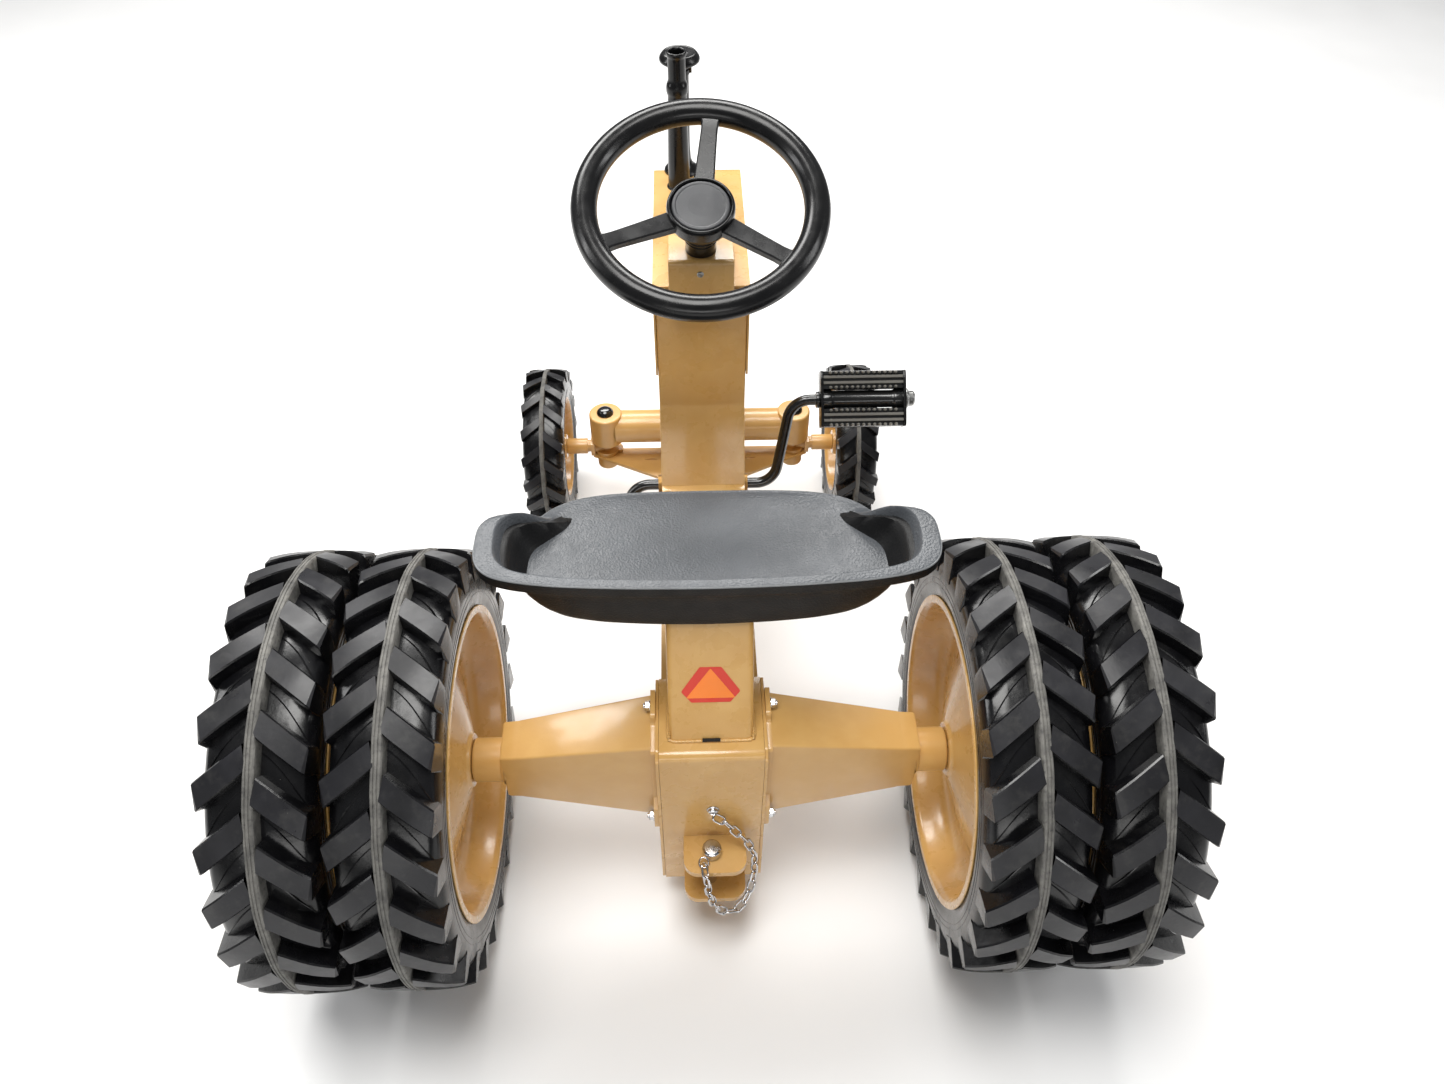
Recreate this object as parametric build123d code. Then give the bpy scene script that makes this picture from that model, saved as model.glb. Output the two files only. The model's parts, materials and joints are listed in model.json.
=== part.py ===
from build123d import *
import os
from math import sin, cos, tan, atan2, radians, degrees, pi, sqrt, hypot

# A child's ride-on pedal tractor with dual rear wheels.
# Millimetres, +Z up, +Y forward, +X to the rider's right.
# Everything is laid out from the rear axle (y = 0 there) and shifted by Y_MID
# on export, so that the origin sits on the ground under the middle of the box.

# ---------------------------------------------------------------- dimensions
RR = 203.2            # rear tyre radius (16 in tyre)
RF = 104.4            # front tyre radius
WB = 549.7            # wheelbase
Y_MID = (WB + RF - RR) / 2

SHAFT_R = 10.0        # rear axle shaft
RUN = 0.05            # radial running clearance
DUAL_IN = 261.7       # middle plane of the inner rear wheels
DUAL_OUT = 359.3      # middle plane of the outer rear wheels

BEAM_W = 91.0         # main beam and pedestal width
BEAM_Z0, BEAM_Z1 = 150.0, 266.0
BEAM_T = 2.0
BOX_W = 101.6         # rear box
BOX_Y0, BOX_Y1 = -43.5, 43.5
BOX_Z0, BOX_Z1 = 37.0, 267.0

POST_LEAN = 27.0      # seat post lean, degrees forward
POST_W, POST_D = 77.0, 44.0

SEAT_W = 400.0
SEAT_Y0, SEAT_Y1 = 19.0, 178.5
SEAT_FLOOR, SEAT_RIM = 386.0, 427.0

HOOD_W = 95.5
HOOD_Y0, HOOD_Y1 = 339.2, 577.0
HOOD_Z0, HOOD_Z1 = 390.0, 501.0

WHEEL_C = (0.0, 325.0, 595.0)   # steering wheel centre
TILT = 23.0                     # steering column tilt, degrees
SW_R, SW_TUBE = 105.0, 12.0     # steering wheel rim
HUB_TOP, HUB_LOW = 0.0, -22.0   # the hub sits lower than the rim
COL_R = 8.0                     # steering shaft
HOOK_A = 9.6                    # eccentricity of the pin under the shaft

AXLE_Z = 138.6        # front axle tube height
KING_X = 126.0        # kingpins
KING_R = 8.0
ARM_A = 14.0          # steering arm, forward of the kingpin
FRONT_X = 201.8       # middle plane of the front wheels
TIE_Z0, TIE_Z1 = 91.5, 95.9

CRANK_Y, CRANK_Z = 327.0, 246.0
THROW = 98.0
CRANK_ANG = 70.0      # right arm above straight ahead, at rest
ROD_R = 6.0
PEDAL_X0, PEDAL_X1 = 129.0, 222.0
PEDAL_TILT = 45.0
SPROCKET_R = 18.4     # 12 teeth at 9.525 mm pitch, both ends

os.makedirs("parts", exist_ok=True)


# ------------------------------------------------------------------- helpers
def save(node, shape):
    solids = list(shape.solids()) if hasattr(shape, "solids") else [s for t in shape for s in t.solids()]
    moved = [Pos(0, -Y_MID, 0) * s for s in solids]
    out = moved[0] if len(moved) == 1 else Compound(children=moved)
    export_step(out, f"parts/{node}.step")


def group(*shapes):
    return Compound(children=[s for t in shapes for s in t.solids()])


def block(x0, x1, y0, y1, z0, z1):
    return Pos((x0 + x1) / 2, (y0 + y1) / 2, (z0 + z1) / 2) * Box(abs(x1 - x0), abs(y1 - y0), abs(z1 - z0))


def rod_x(x0, x1, r, y, z):
    return Pos((x0 + x1) / 2, y, z) * Rot(0, 90, 0) * Cylinder(r, abs(x1 - x0))


def rod_z(z0, z1, r, x, y):
    return Pos(x, y, (z0 + z1) / 2) * Cylinder(r, abs(z1 - z0))


def tube_x(x0, x1, r0, r1, y, z):
    return rod_x(x0, x1, r1, y, z) - rod_x(min(x0, x1) - 1, max(x0, x1) + 1, r0, y, z)


def poly_face(pts3):
    return Face(Wire.make_polygon([Vector(*p) for p in pts3], close=True))


def turned_x(profile, xc, side, y, z):
    """Revolve (t, r) about an X axis; t is measured outboard from the plane x = side * xc."""
    pts = [(side * (xc + t), r, 0) for t, r in profile]
    return Pos(0, y, z) * revolve(poly_face(pts), axis=Axis.X, revolution_arc=360)


def turned_z(profile, x, y, z=0):
    """Revolve (r, z) about a Z axis through (x, y)."""
    pts = [(r, 0, h) for r, h in profile]
    return Pos(x, y, z) * revolve(poly_face(pts), axis=Axis.Z, revolution_arc=360)


def side_prism(pts_yz, x0, x1):
    f = poly_face([(x0, y, z) for y, z in pts_yz])
    return extrude(f, amount=abs(x1 - x0), dir=(1 if x1 > x0 else -1, 0, 0))


def plan_prism(pts_xy, z0, z1):
    f = poly_face([(x, y, z0) for x, y in pts_xy])
    return extrude(f, amount=z1 - z0, dir=(0, 0, 1))


def hexagon_x(x0, x1, flats, y, z):
    h = extrude(RegularPolygon(radius=flats / 2 / cos(pi / 6), side_count=6), amount=abs(x1 - x0))
    return Pos(min(x0, x1), y, z) * Rot(0, 90, 0) * h


COLUMN = Pos(*WHEEL_C) * Rot(TILT, 0, 0)      # z' up the column, y' ahead and up


def column_rod(t0, t1, r, off=0.0):
    """A round along the steering column from t0 to t1 mm below the wheel centre."""
    return COLUMN * Pos(0, off, -(t0 + t1) / 2) * Cylinder(r, abs(t1 - t0))


# ------------------------------------------------------- rear box and beam
outer = side_prism([(BOX_Y0, BOX_Z0), (BOX_Y0, BOX_Z1 - 9), (BOX_Y0 + 2.6, BOX_Z1 - 2.6), (BOX_Y0 + 9, BOX_Z1),
                    (BOX_Y1, BOX_Z1), (BOX_Y1, BOX_Z0)], -BOX_W / 2, BOX_W / 2)
inner = block(-BOX_W / 2 + 3, BOX_W / 2 - 3, BOX_Y0 + 3, BOX_Y1 - 3, BOX_Z0 - 5, BOX_Z1 - 3)
inner -= block(-60, 60, BOX_Y0, BOX_Y0 + 9, BOX_Z1 - 9, BOX_Z1)
rear_box = outer - inner
rear_box -= block(-BEAM_W / 2 + 8, BEAM_W / 2 - 8, BOX_Y1 - 5, BOX_Y1 + 5, BEAM_Z0 + 8, BEAM_Z1 - 8)
rear_box -= rod_x(-60, 60, 16, 0, RR)
save("rear_box", rear_box)

beam = block(-BEAM_W / 2, BEAM_W / 2, BOX_Y1, 590, BEAM_Z0, BEAM_Z1)
beam -= block(-BEAM_W / 2 + BEAM_T, BEAM_W / 2 - BEAM_T, BOX_Y1 - 1, 591, BEAM_Z0 + BEAM_T, BEAM_Z1 - BEAM_T)
beam -= block(-12, 12, 294.5, 500, BEAM_Z1 - 10, BEAM_Z1 + 10)       # chain and column pass up
beam -= block(-30, 30, 490, 600, BEAM_Z0 - 5, BEAM_Z0 + 20)          # column passes down
beam -= rod_x(-60, 60, 11, CRANK_Y, CRANK_Z)
beam -= rod_x(-60, 60, 17.5, WB, AXLE_Z)
save("main_beam", beam)

# ------------------------------------------------- rear axle housings (fixed)
for side, name in ((1, "right"), (-1, "left")):
    def rect_at(x, hy, hz):
        return Wire.make_polygon([Vector(side * x, -hy, RR - hz), Vector(side * x, hy, RR - hz),
                                  Vector(side * x, hy, RR + hz), Vector(side * x, -hy, RR + hz)], close=True)
    taper = Solid.make_loft([rect_at(55.0, 30.0, 58.7), rect_at(180.0, 21.6, 34.5)], True)
    end = block(side * 180.0, side * 195.0, -21.2, 21.2, RR - 33.3, RR + 33.3)
    plate = block(side * 50.8, side * 55.3, -42.0, 42.0, RR - 64.0, RR + 56.0) \
        + block(side * 50.8, side * 55.3, -4.0, 30.0, RR + 50.0, RR + 70.0)
    housing = taper + end + plate + rod_x(side * 194.5, side * 224.2, 21.0, 0, RR)
    housing -= rod_x(side * 40, side * 230, 14.0, 0, RR)
    save(f"axle_housing_{name}", housing)

bolts = []
for side in (1, -1):
    for y, z in ((-36.5, RR - 49.0), (36.5, RR - 49.0), (13.0, RR + 64.3)):
        head = hexagon_x(side * 55.3, side * 60.3, 8.6, y, z)
        bolts.append(head + rod_x(side * 60.2, side * 62.6, 2.6, y, z))
save("flange_bolts", bolts)

save("axle_bushings", [tube_x(side * a, side * b, SHAFT_R + RUN, 14.0, 0, RR)
                       for side in (1, -1) for a, b in ((58.0, 78.0), (200.0, 224.0))])

# --------------------------------------------------------------- rear wheels
save("rear_shaft", rod_x(-398, 398, SHAFT_R, 0, RR) - rod_x(-399, -396, 4, 0, RR) - rod_x(396, 399, 4, 0, RR))

RIM = [(-37.0, 10.05), (-37.0, 25.0), (-34.0, 25.6), (-8.6, 110.0), (-9.0, 118.0), (-14.0, 128.0), (-26.0, 134.5),
       (-39.5, 137.6), (-43.7, 141.0), (-43.7, 148.0), (-41.6, 148.0), (-41.6, 142.0), (-38.5, 140.0),
       (38.5, 140.0), (41.6, 142.0), (41.6, 148.0), (43.7, 148.0), (43.7, 141.0), (39.5, 137.6), (20.0, 136.5),
       (0.0, 133.0), (-4.0, 124.0), (-4.6, 110.0), (-30.0, 26.0), (-29.0, 18.0), (24.3, 18.0), (24.3, 10.05)]
TYRE_HALF = [(0.0, 203.2), (4.4, 203.2), (6.0, 200.6), (28.0, 198.6), (38.0, 192.5), (43.0, 183.0), (44.3, 172.0),
             (44.2, 160.0), (43.4, 151.0), (41.5, 148.6), (41.5, 142.2), (38.4, 140.1), (30.0, 140.1), (30.5, 152.0),
             (32.0, 168.0), (27.0, 180.0), (14.0, 184.0), (0.0, 185.0)]
TYRE = TYRE_HALF + [(-t, r) for t, r in reversed(TYRE_HALF) if t > 0]

for side, name in ((1, "right"), (-1, "left")):
    for xc, pos in ((DUAL_IN, "inner"), (DUAL_OUT, "outer")):
        save(f"rear_rim_{pos}_{name}", turned_x(RIM, xc, side, 0, RR))
        save(f"rear_tyre_{pos}_{name}", turned_x(TYRE, xc, side, 0, RR))

save("axle_spacers", [tube_x(side * 286.0, side * 322.3, SHAFT_R + RUN, 16.0, 0, RR) for side in (1, -1)])
nuts = []
for side in (1, -1):
    washer = tube_x(side * 383.6, side * 386.0, SHAFT_R + RUN, 17.0, 0, RR)
    nut = hexagon_x(side * 386.0, side * 395.5, 28.0, 0, RR) - rod_x(side * 380, side * 399, SHAFT_R + RUN, 0, RR)
    nuts.append(washer + nut)
save("rear_nuts", nuts)


def sprocket(bore, hub_r):
    disc = Rot(0, 90, 0) * Cylinder(SPROCKET_R + 2.1, 4.0)
    for k in range(12):
        a = radians(30 * k)
        disc -= Pos(0, SPROCKET_R * cos(a), SPROCKET_R * sin(a)) * Rot(0, 90, 0) * Cylinder(3.1, 6)
    hub = Rot(0, 90, 0) * Cylinder(hub_r, 18.0)
    return disc + hub - Rot(0, 90, 0) * Cylinder(bore, 20.0)


save("rear_sprocket", Pos(0, 0, RR) * sprocket(SHAFT_R + RUN, 13.4))
save("crank_sprocket", Pos(0, CRANK_Y, CRANK_Z) * sprocket(ROD_R + RUN, 12.0))

# Drive chain: two runs of side plates round both sprockets, joined by rollers
# along the straight runs only, so both sprockets turn freely between them.
ang = degrees(atan2(CRANK_Z - RR, CRANK_Y))
span = hypot(CRANK_Y, CRANK_Z - RR)


def racetrack(r):
    body = Box(2.0, span, 2 * r) + Pos(0, -span / 2, 0) * Rot(0, 90, 0) * Cylinder(r, 2.0) \
        + Pos(0, span / 2, 0) * Rot(0, 90, 0) * Cylinder(r, 2.0)
    return body


cut = Box(9, span, 2 * (SPROCKET_R - 3.4)) + Pos(0, -span / 2, 0) * Rot(0, 90, 0) * Cylinder(SPROCKET_R - 3.4, 9) \
    + Pos(0, span / 2, 0) * Rot(0, 90, 0) * Cylinder(SPROCKET_R - 3.4, 9)
plate_loop = racetrack(SPROCKET_R + 3.4) - cut
chain = Pos(3.8, 0, 0) * plate_loop + Pos(-3.8, 0, 0) * plate_loop
n = int((span - 60) // 19.05)
for k in range(n + 1):
    yk = -n * 19.05 / 2 + k * 19.05
    for zk in (SPROCKET_R, -SPROCKET_R):
        chain += Pos(0, yk, zk) * Rot(0, 90, 0) * Cylinder(2.4, 6.0)
save("drive_chain", Pos(0, CRANK_Y / 2, (RR + CRANK_Z) / 2) * Rot(ang, 0, 0) * chain)

# -------------------------------------------------------- seat post and seat
a = radians(POST_LEAN)
rear_y = -26.0


def post_section(half_w, d0, d1, z0, z1):
    """A leaning box: d0..d1 is measured forward from the post's rear face along Y."""
    y0, y1 = rear_y + (z0 - BOX_Z1) * tan(a), rear_y + (z1 - BOX_Z1) * tan(a)
    return side_prism([(y0 + d0, z0), (y1 + d0, z1), (y1 + d1, z1), (y0 + d1, z0)], -half_w, half_w)


post = post_section(POST_W / 2, 0, POST_D, BOX_Z1, 376.0) \
    - post_section(POST_W / 2 - 3, 3.4, POST_D - 3.4, BOX_Z1 - 1, 377.0)
bead = block(-POST_W / 2 - 3, POST_W / 2 + 3, rear_y - 3, rear_y + POST_D + 4, BOX_Z1, BOX_Z1 + 3) \
    - block(-POST_W / 2 + 1, POST_W / 2 - 1, rear_y + 2, rear_y + POST_D - 3, BOX_Z1 - 1, BOX_Z1 + 5)
post = post + bead
post -= block(-8, 8, rear_y - 6, rear_y + 1.5, BOX_Z1 - 1, BOX_Z1 + 1.6)
save("seat_post", post)

save("seat_bracket", block(-62, 62, 31, 128, 376, 380))
save("seat_bolts", [rod_z(372.5, 376, 7.0, x, y) for x in (-50, 50) for y in (44, 114)])


def rounded(x_half, y0, y1, r, z):
    return Pos(0, (y0 + y1) / 2, z) * RectangleRounded(2 * x_half, y1 - y0, r)


outline_r = [(0, 19.0), (80, 21.0), (124, 24.0), (148, 27.0), (168, 31.0), (184, 37.0), (194.5, 47.0), (199.2, 60.0),
             (200.0, 76.0), (198.6, 92.0), (192.5, 103.0), (182.0, 111.5), (170.0, 121.0), (160.0, 130.0), (152.5, 141.0),
             (143.5, 153.0), (130.0, 163.0), (112.0, 171.0), (88.0, 176.0), (50.0, 178.2), (0, 178.5)]
outline = outline_r + [(-x, y) for x, y in reversed(outline_r[1:-1])]


def scaled(k_side, rear, front):
    """The seat's outline drawn in by k_side at the sides, rear and front along Y."""
    out = []
    for x, y in outline:
        u = (y - SEAT_Y0) / (SEAT_Y1 - SEAT_Y0)
        out.append((x * (1 - k_side / 200.0), y + rear * (1 - u) - front * u))
    return out


def seat_loft(*rows):
    return Solid.make_loft([Wire.make_polygon([Vector(x, y, z) for x, y in scaled(k, r, f)], close=True)
                            for z, k, r, f in rows], True)


lower = seat_loft((372.0, 62.0, 4.4, 16.0), (381.0, 46.0, 3.6, 5.0), (392.0, 37.0, 3.2, 1.0), (415.5, 28.0, 2.8, 0.4))
rim = plan_prism(outline, 415.0, SEAT_RIM)
pocket = seat_loft((SEAT_FLOOR, 42.0, 22.0, -16.0), (400.0, 26.0, 14.0, -30.0), (430.0, 17.0, 11.0, -36.0))
front_cut = side_prism([(96, 432), (96, 427.1), (106, 426), (113, 421), (120, 411), (127, 400), (134, 392.5), (142, 388.4),
                        (155, 386.2), (168, 384.6), (178.6, 382.0), (230, 382.0), (230, 432)], -220, 220)
seat = lower + rim - pocket - front_cut
under = seat_loft((371.0, 66.0, 7.6, 20.0), (380.0, 52.0, 7.0, 9.0))
seat -= under                                  # the bracket sits up inside the skirt
save("seat_pan", seat)

# Warning triangle on the back of the post
tri = [(-26.0, 51.5), (-26.6, 49.0), (-17.5, 39.4), (17.5, 39.4), (26.6, 49.0), (26.0, 51.5), (9.6, 74.3), (-9.6, 74.3)]
pts = [(x, rear_y + s * sin(a), BOX_Z1 + s * cos(a)) for x, s in tri]
save("warning_triangle", extrude(poly_face(pts), amount=0.5, dir=(0, -cos(a), sin(a))))

# ------------------------------------------------------------------ bodywork
def pedestal_prism(w, o, z0, z1):
    return side_prism([(300.5 + o * 1.3, z0), (300.5 + o * 1.3, BEAM_Z1 + 1.0),
                       (341.6 + o, 350.0), (341.6 + o, z1), (563.8 - o, z1), (563.8 - o, z0)], -w / 2, w / 2)


pedestal = pedestal_prism(BEAM_W, 0, BEAM_Z1, 498.6) - pedestal_prism(BEAM_W - 4.4, 2.2, BEAM_Z1 - 5, 505)
pedestal += block(-BEAM_W / 2, BEAM_W / 2, 292.5, 303.5, BEAM_Z1, BEAM_Z1 + 2.4)
save("pedestal", pedestal)

hood_out = side_prism([(HOOD_Y0, HOOD_Z0), (HOOD_Y0, HOOD_Z1 - 2.4), (HOOD_Y0 + 2.4, HOOD_Z1),
                       (HOOD_Y1 - 20, HOOD_Z1), (HOOD_Y1 - 12.3, HOOD_Z1 - 1.5), (HOOD_Y1 - 5.9, HOOD_Z1 - 5.9),
                       (HOOD_Y1 - 1.5, HOOD_Z1 - 12.3), (HOOD_Y1, HOOD_Z1 - 20), (HOOD_Y1, HOOD_Z0)],
                      -HOOD_W / 2, HOOD_W / 2)
hood = hood_out - block(-HOOD_W / 2 + 2, HOOD_W / 2 - 2, HOOD_Y0 + 2, HOOD_Y1 - 12, HOOD_Z0 - 1, HOOD_Z1 - 2)
hood -= block(-HOOD_W / 2 + 2, HOOD_W / 2 - 2, HOOD_Y1 - 20, HOOD_Y1 - 2, HOOD_Z0 - 1, HOOD_Z1 - 20)
hood -= column_rod(60, 140, 14.2)
save("hood", hood)

DASH_W, DASH_Z1 = 63.0, 535.0
dash = side_prism([(329, 478), (329, DASH_Z1 - 2), (331, DASH_Z1), (402, DASH_Z1), (418, HOOD_Z1), (418, 478)],
                  -DASH_W / 2, DASH_W / 2)
dash -= side_prism([(331.4, 470), (331.4, DASH_Z1 - 2.4), (400.6, DASH_Z1 - 2.4), (415.4, HOOD_Z1), (415.4, 470)],
                   -DASH_W / 2 + 2.4, DASH_W / 2 - 2.4)
dash -= hood_out
dash -= column_rod(40, 90, 11.0)
save("dash_box", dash)
save("dash_screw", Pos(-1.0, 0, 0) * (Pos(0, 328.1, 521) * Rot(90, 0, 0) * Cylinder(3.2, 1.8)
                                     - Pos(0, 327.0, 521) * Rot(90, 0, 0) * Cylinder(1.2, 1.2)))
save("column_bushing", column_rod(96.0, 108.0, 14.0) - column_rod(90, 112, COL_R + RUN))
boot = Solid.make_cone(20.0, 14.5, 38.0)
boot = COLUMN * Pos(0, 0, HUB_LOW - 1.0) * Rot(180, 0, 0) * boot
boot -= column_rod(15, 80, COL_R + 1.0)
boot -= side_prism([(320, DASH_Z1), (320, 470), (430, 470), (430, DASH_Z1)], -40, 40)
save("steering_boot", boot)

STACK = [(0, 501.0), (11.6, 501.0), (11.4, 540), (9.7, 601), (10.2, 603.5), (11.1, 606.5), (11.1, 611), (9.6, 615),
         (8.9, 617), (9.2, 641.5), (10.3, 643.0), (10.3, 646.2), (9.4, 646.9), (7.4, 646.9), (7.2, 606), (0, 606)]
save("exhaust_stack", turned_z(STACK, -20.0, 528.0))
PRE = [(0, 480.0), (19.3, 480.0), (19.3, 504.0), (17.0, 505.6), (12.6, 510), (10.4, 517), (9.6, 530), (9.4, 622), (19.8, 622.4),
       (21.0, 624.4), (20.6, 627.0), (17.4, 630.8), (15.8, 631.4), (8.0, 631.8), (0, 632.0)]
pre = turned_z(PRE, -17.0, 562.0)
pre -= side_prism([(HOOD_Y0 - 50, 400), (HOOD_Y0 - 50, HOOD_Z1), (HOOD_Y1 - 20, HOOD_Z1),
                   (HOOD_Y1 - 12.3, HOOD_Z1 - 1.5), (HOOD_Y1 - 5.9, HOOD_Z1 - 5.9), (HOOD_Y1 - 1.5, HOOD_Z1 - 12.3),
                   (HOOD_Y1, HOOD_Z1 - 20), (HOOD_Y1, 400)], -60, 60)
for x, z in ((-6.0, 613), (-28.0, 577)):
    pre += block(x - 1.6, x + 1.6, 559.5, 564.5, z - 3, z + 3)
save("precleaner", pre)

# ------------------------------------------------------------------ steering
rim_ring = COLUMN * Torus(SW_R, SW_TUBE)
wheel = rim_ring
for k in range(3):
    ang_k = 83.5 + 120 * k
    wheel += COLUMN * Rot(0, 0, ang_k) * Pos(63, 0, -3.6) * Rot(0, -6.0, 0) * Box(78.0, 17.0, 9.0)
wheel += COLUMN * Pos(0, 0, (HUB_TOP + HUB_LOW) / 2) * Cylinder(31.2, HUB_TOP - HUB_LOW)
wheel -= column_rod(-30, 30, COL_R)
save("steering_wheel", wheel)
save("hub_cap", COLUMN * (Pos(0, 0, HUB_TOP + 1.4) * Cylinder(27.0, 2.8)))
shaft = column_rod(0.1, 531.0, COL_R) + column_rod(521.0, 530.0, 14.0) + column_rod(529.0, 557.0, 4.0, HOOK_A)
save("steering_shaft", shaft)

tie_pts_r = [(25, 562), (40, 553), (104, 553), (112, 574), (139, 574), (145, 566), (145, 541), (48, 491), (30, 483)]
tie = plan_prism(tie_pts_r + [(-x, y) for x, y in reversed(tie_pts_r)], TIE_Z0, TIE_Z1)
tie -= block(-4.5, 4.5, 540.8, 554.2, TIE_Z0 - 1, TIE_Z1 + 1)
for s in (1, -1):
    tie -= block(s * KING_X - 13.4, s * KING_X + 13.4, WB - 8.5, WB + 8.9, TIE_Z0 - 1, TIE_Z1 + 1)
    tie -= block(s * KING_X - 4.45, s * KING_X + 4.45, WB + 8.0, WB + ARM_A + 4.6, TIE_Z0 - 1, TIE_Z1 + 1)
    tie -= plan_prism([(s * 56, 530.0), (s * 66, 532.0), (s * 76, 530.0), (s * 66, 528.0)], TIE_Z0 - 1, TIE_Z1 + 1) \
        if s > 0 else plan_prism([(-76, 530.0), (-66, 532.0), (-56, 530.0), (-66, 528.0)], TIE_Z0 - 1, TIE_Z1 + 1)
save("tie_plate", tie)

# ---------------------------------------------------------------- front axle
axle = rod_x(-112, 112, 17.5, WB, AXLE_Z)
for s in (1, -1):
    axle += rod_z(127.0, 162.4, 19.0, s * KING_X, WB)
for s in (1, -1):
    axle -= rod_z(110.0, 175.0, KING_R + RUN, s * KING_X, WB)
save("front_axle", axle)
save("kingpin_caps", [turned_z([(0, 162.4), (11.0, 162.4), (10.6, 164.8), (8.8, 167.2), (5.6, 169.0), (0, 169.8)],
                               s * KING_X, WB) for s in (1, -1)])
bolster = block(-45.5, -41.5, 500, 590, 112, BEAM_Z0) + block(41.5, 45.5, 500, 590, 112, BEAM_Z0) \
    + block(-45.5, 45.5, 586, 590, 112, BEAM_Z0) + block(-45.5, 45.5, 500, 530.5, 139, BEAM_Z0)
bolster -= rod_x(-60, 60, 17.5, WB, AXLE_Z)
bolster -= column_rod(440, 540, COL_R + RUN)
save("front_bolster", bolster)

FRIM = [(-22.0, 8.05), (-22.0, 16.0), (-15.0, 17.0), (-4.5, 57.0), (-7.0, 61.0), (-20.0, 63.4), (-23.8, 65.6),
        (-23.8, 70.0), (-22.0, 70.0), (-22.0, 67.0), (-20.5, 66.0), (20.5, 66.0), (22.0, 67.0), (22.0, 70.0),
        (23.8, 70.0), (23.8, 65.6), (20.0, 63.4), (2.0, 62.5), (-1.5, 58.0), (-12.0, 18.0), (-10.0, 16.0),
        (20.0, 16.0), (20.0, 8.05)]
FT_HALF = [(0.0, 104.4), (2.8, 104.4), (4.0, 102.5), (16.0, 101.2), (22.5, 97.6), (26.0, 91.0), (26.6, 84.0),
           (26.0, 76.0), (23.9, 71.6), (21.9, 71.0), (21.9, 67.1), (20.4, 66.1), (15.0, 66.1), (16.5, 74.0),
           (17.0, 84.0), (12.0, 91.0), (0.0, 93.5)]
FTYRE = FT_HALF + [(-t, r) for t, r in reversed(FT_HALF) if t > 0]
for s, name in ((1, "right"), (-1, "left")):
    k = rod_z(74.0, 160.0, KING_R, s * KING_X, WB) + rod_z(96.3, 101.8, 15.0, s * KING_X, WB)
    k += rod_x(s * (KING_X + 5), s * 230.0, KING_R, WB, RF)
    k += rod_x(s * 152.0, s * 179.3, 10.5, WB, RF)
    k += block(s * 142.0, s * 147.4, WB - 11.0, WB + 11.0, 96.3, 115.4)
    k += block(s * KING_X - 9, s * KING_X + 9, WB + 4, WB + ARM_A + 6.5, 96.3, 101.2)
    k += rod_z(91.2, 97.0, 4.0, s * KING_X, WB + ARM_A)
    k += block(s * (KING_X - 21), s * (KING_X - 12), WB - 5, WB + 4, 97.0, 101.0)
    save(f"knuckle_{name}", k)
    save(f"kingpin_foot_{name}", rod_z(74.0, 91.0, 14.0, s * KING_X, WB) - rod_z(70, 95, KING_R, s * KING_X, WB))
    save(f"front_rim_{name}", turned_x(FRIM, FRONT_X, s, WB, RF))
    save(f"front_tyre_{name}", turned_x(FTYRE, FRONT_X, s, WB, RF))
    save(f"front_nut_{name}", hexagon_x(s * 222.3, s * 229.3, 22.0, WB, RF) - rod_x(s * 220, s * 232, KING_R, WB, RF))

# ------------------------------------------------------------- crank, pedals
ca = radians(CRANK_ANG)
py_r, pz_r = CRANK_Y + THROW * cos(ca), CRANK_Z + THROW * sin(ca)
py_l, pz_l = CRANK_Y - THROW * cos(ca), CRANK_Z - THROW * sin(ca)
path = FilletPolyline((-226.5, py_l, pz_l), (-98, py_l, pz_l), (-80, CRANK_Y, CRANK_Z), (80, CRANK_Y, CRANK_Z),
                      (98, py_r, pz_r), (226.5, py_r, pz_r), radius=24)
start = Plane(origin=(-226.5, py_l, pz_l), z_dir=(1, 0, 0))
crank = sweep(start * Circle(ROD_R), path=path)
crank += rod_x(-128.5, -124.5, 9.0, py_l, pz_l) + rod_x(124.5, 128.5, 9.0, py_r, pz_r)
save("crank_rod", crank)
save("crank_bushings", [tube_x(s * 41.0, s * 50.0, ROD_R + RUN, 11.0, CRANK_Y, CRANK_Z) for s in (1, -1)])
caps = []
for s, y, z in ((1, py_r, pz_r), (-1, py_l, pz_l)):
    c = rod_x(s * 222.4, s * 225.4, 11.5, y, z) + rod_x(s * 225.4, s * 228.4, 7.5, y, z)
    c -= rod_x(s * 220, s * 226.5, ROD_R, y, z)
    caps.append(c)
save("crank_nuts", caps)

for s, name, y, z in ((1, "right", py_r, pz_r), (-1, "left", py_l, pz_l)):
    xm, w = (PEDAL_X0 + PEDAL_X1) / 2, PEDAL_X1 - PEDAL_X0
    p = Box(w, 16, 17)
    for q in (1, -1):
        p += Pos(0, q * 20.4, 0) * Box(w - 6, 20.2, 25.0)
        p += Pos(q * (w / 2 - 1.5), 0, 0) * Box(3.0, 61.0, 24.0)
        for hgt in (1, -1):
            p -= Pos(0, q * 21.0, hgt * 12.0) * Box(w - 6.02, 2.6, 3.4)
    p -= Rot(0, 90, 0) * Cylinder(ROD_R + RUN, w + 4)
    save(f"pedal_{name}", Pos(s * xm, y, z) * Rot(PEDAL_TILT, 0, 0) * p)

# --------------------------------------------------------------------- hitch
def hitch_plate(z0, z1):
    f = plan_prism([(-30.5, BOX_Y0), (-30.5, -70.0), (-26.4, -78.5), (-18.0, -83.3), (18.0, -83.3), (26.4, -78.5),
                    (30.5, -70.0), (30.5, BOX_Y0)], z0, z1)
    return f


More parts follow.
